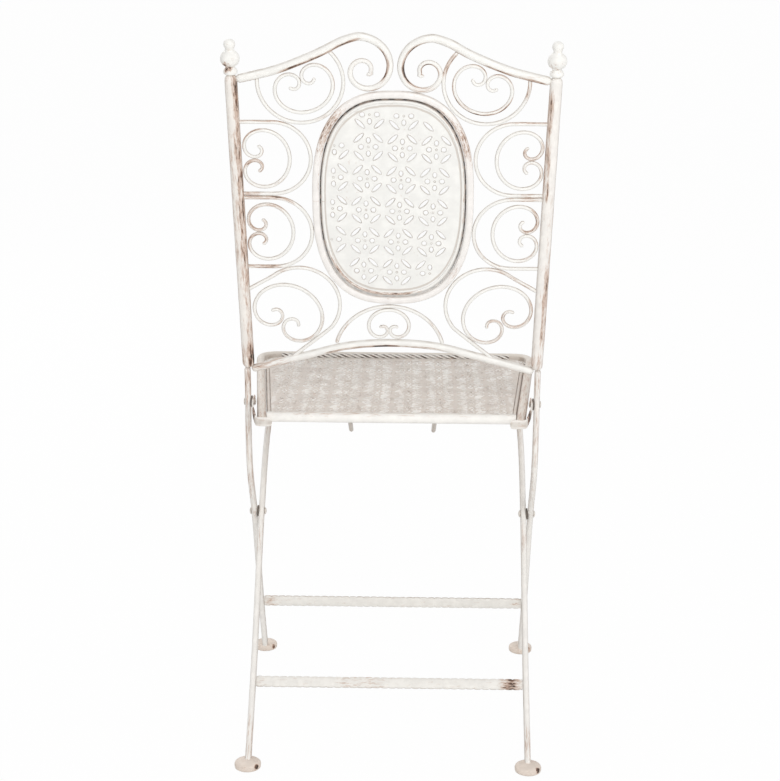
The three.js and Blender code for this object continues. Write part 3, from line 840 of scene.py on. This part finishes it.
def buildOval():
    half = oval["ring"] / 2
    line = [onBack(u, oval["middle"] + v) for u, v in superEllipse(half, 220)]
    ring = barAlong("ovalRingBar", line, backNormal, half * 0.97, closed=True, square=3.4,
                    uneven=0.012, sides=20)
    paintPiece(ring, "oval_ring", "ringPaint", ringLook)
    half = oval["rod"] / 2
    line = [onBack(u, oval["middle"] + v) for u, v in superEllipse(oval["rodInset"] + half, 200)]
    rod = barAlong("ovalRodBar", line, backNormal, half, closed=True, sides=12)
    paintPiece(rod, "oval_inner_rod", "innerRodPaint", innerRodLook)


rosette = {
    "pitch": 0.0429, "petal": (0.017, 0.0162, 0.0046), "eye": (0.0093, 0.0058, 0.0058),
    "slot": (0.0088, 0.0046, 0.0070), "lip": 0.0005, "seatLip": 0.0008, "bead": 0.0013,
}
sheetThick = 0.0015


def lensHole(x, y, angle, at, long, wide, count=7):
    # A lens lying across the line from the rosette's middle, long along its ring
    out = Vector((math.cos(angle), math.sin(angle)))
    along = Vector((-out.y, out.x))
    middle = Vector((x, y)) + out * at
    points = []
    for half in (1, -1):
        for i in range(count):
            t = math.pi * i / count
            reach = along * (math.cos(t) * long / 2) + out * (math.sin(t) * wide / 2)
            points.append(middle + reach * half)
    return points


def rosetteHoles(x, y):
    quarter = math.pi / 2
    holes = []
    for k in range(4):
        holes.append(lensHole(x, y, (k + 0.5) * quarter, *rosette["petal"]))
        inside = rosette["eye"] if k % 2 == 0 else rosette["slot"]
        holes.append(lensHole(x, y, k * quarter, *inside, count=5))
    return holes


def outward(hole, amount):
    # The hole's outline, moved out from its edge
    middle = sum(hole, Vector((0, 0))) / len(hole)
    return [p + (p - middle).normalized() * amount for p in hole]


def piercedSheet(name, outline, middles, inside, faces, lip):
    # The sheet lies flat about z = 0, with a rosette at each middle and the holes that are
    # inside its pattern; each hole has a lip raised by the punch on these faces
    bevel, bead = 0.0002, 2 * rosette["bead"]
    holes = [hole for middle in middles for hole in rosetteHoles(*middle)]
    holes = [hole for hole in holes if all(inside(p) for p in hole)]
    line = bpy.data.curves.new(name, "CURVE")
    line.dimensions = "2D"
    line.fill_mode = "BOTH"
    line.extrude = sheetThick / 2 - bevel
    line.bevel_depth = bevel
    line.bevel_resolution = 0
    line.offset = -bevel
    for points in [outline, *holes]:
        addLoop(line, points)
    sheet = meshOfCurve(name, line)
    setAttribute(sheet, "lip", [0.0] * len(sheet.data.vertices))
    lips = bpy.data.curves.new(name + "Lips", "CURVE")
    lips.dimensions = "3D"
    lips.bevel_depth = lip
    lips.bevel_resolution = 0
    rims = [outward(hole, lip) for hole in holes]
    rims += [lensHole(*p, 0, 0, bead, bead, 4) for p in middles if inside(p)]
    for face in faces:
        for points in rims:
            addLoop(lips, points, face * sheetThick / 2)
    rim = meshOfCurve(name + "Lips", lips)
    bpy.ops.object.shade_smooth()
    setAttribute(rim, "lip", [1.0] * len(rim.data.vertices))
    makeActive(sheet)
    rim.select_set(True)
    bpy.ops.object.join()
    weld(bars["weld"], turnOut=False)
    return sheet


groove = {
    # Painted shadow round the oval: bands of the sheet's rim, as shares of the way from its middle
    # to the ring's inner edge
    "inset": 0.0105, "ragged": 0.012, "soft": (0.925, 0.935, 0.945, 0.955), "dark": (0.985, 1.0),
    "softTone": (0.66, 0.61, 0.56), "brown": (0.30, 0.24, 0.20), "lowFade": (-0.13, -0.04, 0.45),
}


def grooveShadowMark(tree, place, tone):
    # Painted shadow in the groove between the sheet's rim and the ring: a soft grey band, and a
    # dark band ragged between near black and brown
    parts = addNode(tree, "SeparateXYZ", {"Vector": place})
    up = addMath(tree, "SUBTRACT", parts.outputs["Z"], back["z"])
    up = addMath(tree, "DIVIDE", up, math.cos(back["rake"]))
    up = addMath(tree, "SUBTRACT", up, oval["middle"])
    shares = []
    for value, half in ((parts.outputs["X"], oval["halfWidth"]), (up, oval["halfHeight"])):
        value = addMath(tree, "ABSOLUTE", value)
        share = addMath(tree, "DIVIDE", value, half - groove["inset"])
        shares.append(addMath(tree, "POWER", share, oval["power"]))
    rim = addMath(tree, "POWER", plus(tree, *shares), 1 / oval["power"])
    ragged = addNoise(tree, place, 120.0, 2.0)
    rim = plus(tree, rim, times(tree, ragged, groove["ragged"]))
    rise, full, fade, gone = groove["soft"]
    soft = times(tree, addRamp(tree, rim, rise, full), addRamp(tree, rim, fade, gone, 1.0, 0.0))
    tone = addMix(tree, soft, tone, groove["softTone"])
    # The dark band of painted shadow is weaker towards the bottom of the oval
    start, end, least = groove["lowFade"]
    share = times(tree, addRamp(tree, rim, *groove["dark"]), addRamp(tree, up, start, end, least))
    grooveShadeTone = addMix(tree, addRamp(tree, ragged, 0.4, 0.65), paint["dark"], groove["brown"])
    return addMix(tree, share, tone, grooveShadeTone)


backSheet = {
    "inset": 0.0097, "rim": 0.0200, "aside": -0.0085, "below": -0.0151,
    "turn": math.radians(2.1),
    # The punched lips take a darker tone: painted shade round the holes
    "look": {"coat": paint["sheet"], "wear": -0.03, "grain": 90.0, "brush": 60.0, "mask": "lip",
             "flank": 0.8, "flankTone": (0.50, 0.45, 0.40), "marks": [grooveShadowMark]},
}


def buildBackSheet():
    middles = []
    turn = Matrix.Rotation(backSheet["turn"], 2)
    for column in range(-2, 3):
        for row in range(-3, 4):
            at = turn @ Vector((column, row)) * rosette["pitch"]
            middles.append((at.x + backSheet["aside"], at.y + backSheet["below"]))
    wide = oval["halfWidth"] - backSheet["rim"]
    high = oval["halfHeight"] - backSheet["rim"]

    def inside(p):
        return abs(p[0] / wide) ** oval["power"] + abs(p[1] / high) ** oval["power"] < 1

    outline = superEllipse(backSheet["inset"], 120)
    sheet = piercedSheet("backSheet", outline, middles, inside, (-1, 1), rosette["lip"])
    stand = Matrix.Rotation(math.pi / 2 - back["rake"], 4, "X")
    placeMesh(sheet, Matrix.Translation(onBack(0, oval["middle"])) @ stand)
    paintPiece(sheet, "back_panel", "backSheetPaint", backSheet["look"])


# Legs, feet, bars and pins

legs = {
    "thick": 0.0082, "deep": 0.015, "front": 0.1945, "rear": 0.1843, "seed": 70.0,
    "seedStep": 2.3,
    "frontFoot": -0.1905, "rearFoot": 0.220, "crossing": (-0.032, 0.272), "pivot": (0.0403, 0.451),
    # y, z and how far in the leg leans there
    "frontLine": [(0.0457, 0.4991, 0), (0.0408, 0.471, 0), (0.0404, 0.412, 0), (0.027, 0.352, 0),
                  (-0.032, 0.272, 0), (-0.081, 0.182, 0), (-0.134, 0.084, 0), (-0.1848, 0.005, 0)],
    "rearLine": [(-0.191, 0.4375, 0.010), (-0.153, 0.395, 0.005), (-0.112, 0.349, 0.001),
                 (-0.032, 0.272, 0), (0.105, 0.110, 0), (0.2154, 0.005, 0)],
    # A leg's painted side shade lies on its faces that point across the chair
    "look": {"lying": True, "streak": 0.16, "bar": 0.008, "core": 0.6, "flank": 0.8,
             "coat": (0.935, 0.905, 0.865)},
    # Worn stretches, from the top down
    "front_left": [(0.0, 0.05, 0.22, 0), (0.05, 0.4, 0.12, 0), (0.42, 0.46, 0.10, 0)],
    "front_right": [(0.0, 0.04, 0.18, 0), (0.05, 0.4, 0.10, 0), (0.42, 0.46, 0.10, 0)],
    "rear_left": [(0.0, 0.2, 0.10, 0), (0.42, 0.5, 0.10, 0), (0.9, 1.0, 0.12, 0)],
    "rear_right": [(0.0, 0.2, 0.10, 0), (0.42, 0.5, 0.10, 0), (0.9, 1.0, 0.12, 0)],
}
feet = {
    "chip": (-0.0125, 0.011, 0.006), "chipSize": (0.0055, 0.3),
    "profile": [(0.0, 0.0), (0.0155, 0.0), (0.0169, 0.0010), (0.0174, 0.0030), (0.0175, 0.0058),
                (0.0168, 0.0078), (0.0152, 0.0092), (0.0120, 0.0100), (0.0, 0.0102)],
    "look": {"coat": (0.80, 0.70, 0.62), "wear": 0.03, "grain": 110.0, "brush": 130.0},
}


def buildLegs():
    seed = legs["seed"]
    for name, side in sides.items():
        for pair, body, footY in (("front", "back_frame", legs["frontFoot"]),
                                  ("rear", "rear_legs", legs["rearFoot"])):
            x = legs[pair]
            line = [Vector((side * (x - lean), y, z)) for y, z, lean in legs[pair + "Line"]]
            bar = barAlong(f"{pair}LegBar_{name}", throughPoints(line), acrossX,
                           legs["deep"] / 2, legs["thick"] / 2, square=2.6, endRound=0.003)
            look = {**legs["look"], "seed": seed, "patches": legs[f"{pair}_{name}"]}
            paintPiece(bar, f"{pair}_leg_{name}", f"{pair}LegPaint_{name}", look, body)
            foot = spinProfile(f"{pair}FootPuck_{name}", feet["profile"])
            placeMesh(foot, Matrix.Translation((side * x, footY, 0)))
            aside, behind, high = feet["chip"]
            chip = (side * x + aside, footY + behind, high)
            look = {**feet["look"], "spots": [(chip, *feet["chipSize"])]}
            paintPiece(foot, f"{pair}_foot_{name}", f"{pair}FootPaint_{name}", look, body)
            seed += legs["seedStep"]


crossbars = {
    "thick": 0.0045, "blow": 0.0105, "dent": 0.12,
    "look": {"seed": 90.0, "bar": 0.014, "wear": 0.02, "core": 0.8, "flank": 1.0,
             "coat": (0.88, 0.855, 0.81)},
    "front": {"half": 0.1901, "place": (-0.125, 0.1015), "tilt": -0.1, "tall": 0.0160,
              "body": "back_frame",
              "patches": [(0.0, 0.05, 0.16, 0), (0.97, 1.0, 0.14, 0)]},
    "rear": {"half": 0.1799, "place": (0.130, 0.083), "tilt": 0.7, "tall": 0.015,
             "body": "rear_legs",
             "patches": [(0.92, 0.99, 0.26, 0), (0.3, 0.5, 0.08, 0), (0.0, 0.03, 0.1, 0)]},
}


topBar = {
    "end": (0.1693, -0.190, 0.4408), "radius": 0.0045,
    "look": {"seed": 95.0, "wear": 0.02, "flank": 0.6},
}


def buildCrossbars():
    # Flat bars with a row of hammer blows along both edges
    for name in ("front", "rear"):
        spec = crossbars[name]
        y, z = spec["place"]
        facing = Vector((0, math.cos(spec["tilt"]), math.sin(spec["tilt"])))
        half = spec["half"]
        path = acrossChair(half, y, z, 0.0012)

        def blows(share):
            beat = math.sin(math.pi * share * 2 * half / crossbars["blow"])
            return 1 - crossbars["dent"] * (1 - abs(beat)) ** 2

        bar = barAlong(name + "CrossBar", path, facing, spec["tall"] / 2,
                       crossbars["thick"] / 2, taper=blows, square=5.0, endRound=0.0008,
                       uneven=0.03)
        look = {**crossbars["look"], "patches": spec["patches"]}
        paintPiece(bar, name + "_crossbar", name + "CrossBarPaint", look, spec["body"])
    bar = barAlong("rearTopBar", acrossChair(*topBar["end"]), upZ, topBar["radius"],
                   endRound=0.0008)
    paintPiece(bar, "rear_top_bar", "rearTopBarPaint", topBar["look"], "rear_legs")


pins = {
    "shank": 0.003, "head": 0.005,
    # A head's outline, as shares of its radius and of its height
    "cap": [(0.0, 1.0), (0.45, 0.93), (0.8, 0.62), (1.0, 0.2), (1.0, 0.0)],
    "rivet": {"inner": 0.1799, "outer": 0.1989, "dome": 0.0024, "at": "crossing"},
    "bolt": {"inner": 0.1855, "outer": 0.1989, "dome": 0.0016, "at": "pivot"},
    "washer": {"bore": 0.0033, "radius": 0.008, "inner": 0.1887, "thick": 0.0014},
    "look": {"coat": (0.80, 0.75, 0.69), "wear": 0.07, "grain": 160.0, "brush": 200.0,
             "thin": (0.30, 0.24, 0.20), "rough": 0.6},
    # The washers' near black coat is painted shadow where the legs cross and at the seat pivot
    "washerShadowLook": {"coat": (0.24, 0.20, 0.17), "wear": 0.05, "grain": 160.0, "brush": 200.0,
                   "thin": (0.12, 0.09, 0.075), "rough": 0.75},
}


def buildPins():
    def place(name, profile, side, at, node, coat):
        piece = spinProfile(name, profile, steps=24)
        y, z = at
        turn = Matrix.Rotation(side * math.pi / 2, 4, "Y")
        placeMesh(piece, Matrix.Translation((0, y, z)) @ turn)
        finishPiece(piece, "back_frame", coat, node)

    pinCoat = paintMaterial("pinPaint", pins["look"])
    washerShadowCoat = paintMaterial("washerShadowPaint", pins["washerShadowLook"])
    for name, side in sides.items():
        for kind, node in (("rivet", "leg_rivet_"), ("bolt", "seat_bolt_")):
            spec = pins[kind]
            inner, outer, dome, head = spec["inner"], spec["outer"], spec["dome"], pins["head"]
            cap = pins["cap"]
            profile = [(r * head, inner - h * dome) for r, h in cap]
            profile += [(pins["shank"], inner), (pins["shank"], outer)]
            profile += [(r * head, outer + h * dome) for r, h in reversed(cap)]
            place(f"{kind}Pin_{name}", profile, side, legs[spec["at"]], node + name, pinCoat)
        spec = pins["washer"]
        start, end = spec["inner"], spec["inner"] + spec["thick"]
        ring = [(spec["bore"], start), (spec["radius"], start), (spec["radius"], end),
                (spec["bore"], end), (spec["bore"], start)]
        for label, at in (("leg", "crossing"), ("seat", "pivot")):
            place(f"{label}Washer_{name}", ring, side, legs[at], f"{label}_washer_{name}",
                  washerShadowCoat)


# Seat

seat = {
    "tube": 0.00625, "level": 0.450, "front": -0.2313, "rear": 0.138, "corner": 0.030,
    "widthAtPivot": 0.1765, "taper": 0.0884, "rearBarY": 0.113, "rearBar": 0.007,
    "rod": 0.0032, "rodOffset": 0.0098, "rodLevel": 0.4462, "rodFront": 0.024, "rodRear": 0.008,
    "rearBarInset": 0.0068,
    "sheetOffset": 0.0126, "sheetLevel": 0.44975, "bow": 0.00012,
    # The seat tube's dark flanks are painted shade
    "tubeLook": {"seed": 110.0, "streak": 0.16, "bar": 0.010, "wear": 0.02,
                 "coat": (0.80, 0.74, 0.67), "flank": 0.9, "flankTone": (0.38, 0.31, 0.26),
                 "patches": [(0.0, 0.3, 0.08, 0), (0.7, 1.0, 0.10, 0), (0.0, 0.012, 0.2, 0),
                             (0.988, 1.0, 0.2, 0)]},
    # The rear bar's painted side shade lies along its top and its underside
    "barLook": {"seed": 115.0, "streak": 0.2, "bar": 0.010, "wear": -0.06,
                "lying": True, "coat": (0.95, 0.925, 0.885), "core": 0.8, "flank": 0.6,
                "patches": [(0.0, 0.45, 0.17, 1), (0.45, 1.0, 0.11, 1)]},
    # The side rods' near black flanks are painted shade
    "rodLook": {"seed": 124.0, "wear": 0.08, "coat": (0.76, 0.70, 0.64),
                "core": 0.5, "flank": 1.0, "flankTone": (0.16, 0.125, 0.10)},
    "plainLook": {"seed": 130.0, "wear": 0.04, "coat": (0.74, 0.70, 0.66),
                  "flank": 0.6},
}


rope = {
    "half": 0.0029, "quarterTurns": 32, "inset": 0.032, "behind": 0.0101, "above": 0.0026,
    "look": {"seed": 120.0, "streak": 0.2, "wear": 0.05,
             # The hollows of the twist take a near black tone: painted shadow
             "coat": (0.95, 0.92, 0.87), "mask": "hollow", "maskRange": (0.45, 0.8),
             "flank": 1.3, "flankTone": (0.11, 0.08, 0.065)},
}


def seatTubeAt(y):
    return seat["widthAtPivot"] - seat["taper"] * (y - legs["pivot"][0])


def onSeat(x, y, z=None):
    return Vector((x, y, seat["level"] if z is None else z))


def buildSeatFrame():
    front, corner = seat["front"], seat["corner"]
    half = []
    turnAt = front + corner
    for i in range(13):
        t = i / 12
        x = ((1 - t) ** 2 * seatTubeAt(turnAt) + 2 * t * (1 - t) * seatTubeAt(front)
             + t * t * (seatTubeAt(front) - corner))
        half.append((x, (1 - t) ** 2 * turnAt + (2 * t * (1 - t) + t * t) * front))
    side = straight(onSeat(seatTubeAt(seat["rear"]), seat["rear"]), onSeat(*half[0]))
    across = acrossChair(*half[-1], seat["level"])
    left = side[:-1] + [onSeat(*p) for p in half]
    right = [onSeat(-p.x, p.y) for p in reversed(left)]
    path = left + across[1:-1] + right
    tube = barAlong("seatTube", path, upZ, seat["tube"] * snug, uneven=0.012)
    paintPiece(tube, "seat_frame", "seatTubePaint", seat["tubeLook"], "seat")
    y = seat["rearBarY"]
    reach = seatTubeAt(y) - seat["rearBarInset"]
    path = acrossChair(reach, y, seat["level"])
    bar = barAlong("seatRearTube", path, upZ, seat["rearBar"] * snug, endRound=0.001, uneven=0.012)
    paintPiece(bar, "seat_rear_bar", "seatRearPaint", seat["barLook"], "seat")


def buildSeatRods():
    for name, side in sides.items():
        ends = [onSeat(side * (seatTubeAt(y) - seat["rodOffset"]), y, seat["rodLevel"])
                for y in (seat["front"] + seat["rodFront"], seat["rearBarY"] - seat["rodRear"])]
        rod = barAlong("seatSideBar_" + name, straight(*ends), upZ, seat["rod"], sides=12)
        paintPiece(rod, "seat_side_rod_" + name, "seatSidePaint_" + name, seat["rodLook"], "seat")
    half = seatTubeAt(seat["front"]) - rope["inset"]
    y = seat["front"] + rope["behind"]
    z = seat["level"] + rope["above"]
    path = acrossChair(half, y, z, 0.0012)
    bar = barAlong("seatRope", path, upZ, rope["half"], square=6.0, uneven=0.01,
                   twist=rope["quarterTurns"] * math.pi / 4 / half, endRound=0.001)
    paintPiece(bar, "seat_rope_rod", "seatRopePaint", rope["look"], "seat")


seatDirtAndLightTones = {
    # Brown cloud and ticks, a pale tone of painted highlight in streaks, and a rose tone of painted
    # shade at the rear edge
    "cloud": (0.54, 0.46, 0.41), "streak": (0.93, 0.91, 0.88), "tick": (0.36, 0.28, 0.23),
    "edge": (0.52, 0.33, 0.27), "cloudShare": 0.4, "streakShare": 0.45, "tickShare": 0.4,
    "edgeShare": 0.8, "edgeFrom": 0.098, "edgeFull": 0.1045, "grain": (190.0, 55.0, 1.0),
}


def paintSeatDirtAndLight(tree, place, tone):
    # Brown rubbed cloudiness over the sheet, and a rose line of painted shade along its rear edge,
    # next to the rear bar
    parts = addNode(tree, "SeparateXYZ", {"Vector": place})
    cloud = addNoise(tree, place, 18.0, 5.0, 0.7)
    share = addRamp(tree, cloud, 0.45, 0.7, 0.0, seatDirtAndLightTones["cloudShare"])
    tone = addMix(tree, share, tone, seatDirtAndLightTones["cloud"])
    # Painted highlight: lighter streaks in columns along the rows of raised lips, with small brown
    # ticks between those columns
    beat = times(tree, parts.outputs["X"], 4 * math.pi / rosette["pitch"])
    beat = addMath(tree, "SINE", addMath(tree, "SUBTRACT", beat, math.pi / 2))
    drawn = addNode(tree, "VectorMath", {0: place, 1: seatDirtAndLightTones["grain"]}, operation="MULTIPLY")
    speckle = addNoise(tree, drawn.outputs["Vector"], 1.0, 3.0)
    for mark, column, ticks in (("streak", (0.0, 0.9), (0.42, 0.62)),
                                ("tick", (0.0, -0.7), (0.56, 0.66))):
        share = times(tree, addRamp(tree, beat, *column), addRamp(tree, speckle, *ticks),
                      seatDirtAndLightTones[mark + "Share"])
        tone = addMix(tree, share, tone, seatDirtAndLightTones[mark])
    # Painted shade: a rose band along the sheet's rear edge, next to the rear bar
    edge = addRamp(tree, parts.outputs["Y"], seatDirtAndLightTones["edgeFrom"], seatDirtAndLightTones["edgeFull"], 0.0,
                   seatDirtAndLightTones["edgeShare"])
    return addMix(tree, edge, tone, seatDirtAndLightTones["edge"])


seatSheet = {
    # How far the front corners are cut off, and the plain rim round the holes
    "corner": 0.012, "margin": 0.0035, "gap": 0.001,
    "look": {"coat": (0.70, 0.635, 0.575), "wear": 0.04, "grain": 150.0, "brush": 45.0,
             # The raised lips take a pale tone: painted highlight
             "mask": "lip", "flank": 1.0, "flankTone": (0.97, 0.955, 0.93),
             "marks": [paintSeatDirtAndLight]},
}


def buildSeatSheet():
    front = seat["front"] + seat["sheetOffset"] + seatSheet["gap"]
    rear = seat["rearBarY"] - seat["rearBar"] - seatSheet["gap"]
    corner, margin = seatSheet["corner"], seatSheet["margin"]

    def edge(y):
        return seatTubeAt(y) - seat["sheetOffset"]

    def inside(p):
        fromSide, fromFront = edge(p[1]) - abs(p[0]), p[1] - front
        return (min(fromSide, fromFront, rear - p[1]) > margin
                and fromSide + fromFront > corner + 2 * margin)

    half = [(edge(rear), rear), (edge(front + corner), front + corner),
            (edge(front) - corner, front)]
    outline = [(-x, y) for x, y in half] + list(reversed(half))
    middles = []
    for i in range(8):
        for row in range(-3, 4):
            column = i - 3.5
            x = column * rosette["pitch"] + seat["bow"] * row ** 2
            y = row * rosette["pitch"] + seat["bow"] * column ** 2
            middles.append((x, y + (front + rear) / 2))
    sheet = piercedSheet("seatSheet", outline, middles, inside, (1,), rosette["seatLip"])
    placeMesh(sheet, Matrix.Translation((0, 0, seat["sheetLevel"])))
    paintPiece(sheet, "seat_panel", "seatSheetPaint", seatSheet["look"], "seat")


fittings = {
    "strap": {"wide": 0.014, "thick": 0.003, "top": 0.4487, "front": -0.190, "rear": 0.018,
              "inset": 0.0136},
    "hook": {"radius": 0.0031, "spread": 0.058, "low": 0.403, "gap": 0.0003,
             "lean": (0.002, 0.003)},
    "bracket": {
        "thick": 0.0026, "tall": 0.012, "inner": 0.1858, "eye": 0.016, "aside": 0.0023,
        "behind": 0.0048, "wrap": [(0, 0.009), (0.002, 0.0025), (0.009, 0), (0.022, 0)],
        "look": {"seed": 140.0, "wear": 0.06, "coat": (0.90, 0.86, 0.81), "flank": 0.7,
                 "patches": [(0.5, 0.8, 0.24, 0), (0.0, 0.2, 0.14, 0)]},
    },
}


def buildStraps(coat):
    strap = fittings["strap"]
    for name in ("front", "rear"):
        y, z = strap[name], strap["top"] - strap["thick"] / 2
        reach = seatTubeAt(y) - strap["inset"]
        path = acrossChair(reach, y, z)
        bar = barAlong("seatStrapBar_" + name, path, upZ, strap["wide"] / 2, strap["thick"] / 2,
                       square=5.0, endRound=0.0006)
        finishPiece(bar, "seat", coat, "seat_strap_" + name)


def buildHook(name, side, coat):
    strap, hook = fittings["strap"], fittings["hook"]
    x, y, low = side * hook["spread"], strap["rear"], hook["low"]
    top = strap["top"] - strap["thick"] - hook["gap"]
    aside, ahead = hook["lean"]
    line = [onSeat(x, y, top), onSeat(x, y, (top + low) / 2),
            onSeat(x - side * aside, y - ahead, low)]
    rod = barAlong("seatHookBar_" + name, throughPoints(line), acrossX, hook["radius"])
    finishPiece(rod, "seat", coat, "seat_hook_" + name)


def buildBracket(name, side):
    # A strip from the bolt along the seat tube, wrapped round its rear end
    bracket = fittings["bracket"]
    y, z = legs["pivot"]
    middle = bracket["inner"] + bracket["thick"] / 2
    rearX = seatTubeAt(seat["rear"]) + seat["tube"] + bracket["aside"]
    behind = seat["rear"] + bracket["behind"]
    line = [(middle, y - bracket["eye"]), (middle, y + bracket["eye"])]
    line += [(rearX - inwards, behind - ahead) for inwards, ahead in bracket["wrap"]]
    path = throughPoints([onSeat(side * a, b, z) for a, b in line])
    strip = barAlong("seatBracketStrip_" + name, path, upZ, bracket["thick"] / 2,
                     bracket["tall"] / 2, square=4.0, endRound=0.004)
    paintPiece(strip, "seat_bracket_" + name, "seatBracketPaint_" + name, bracket["look"], "seat")


def buildSeatFittings():
    coat = paintMaterial("seatStrapPaint", seat["plainLook"])
    buildStraps(coat)
    for name, side in sides.items():
        buildHook(name, side, coat)
        buildBracket(name, side)


buildUprights()
buildFinials()
buildTopRails()
buildBottomRail()
print("uprights and rails done")
buildScrollwork()
print("scrollwork done")
buildOval()
buildBackSheet()
print("oval done")
buildLegs()
buildCrossbars()
buildPins()
print("legs done")
buildSeatFrame()
buildSeatRods()
buildSeatSheet()
buildSeatFittings()
print("seat done")
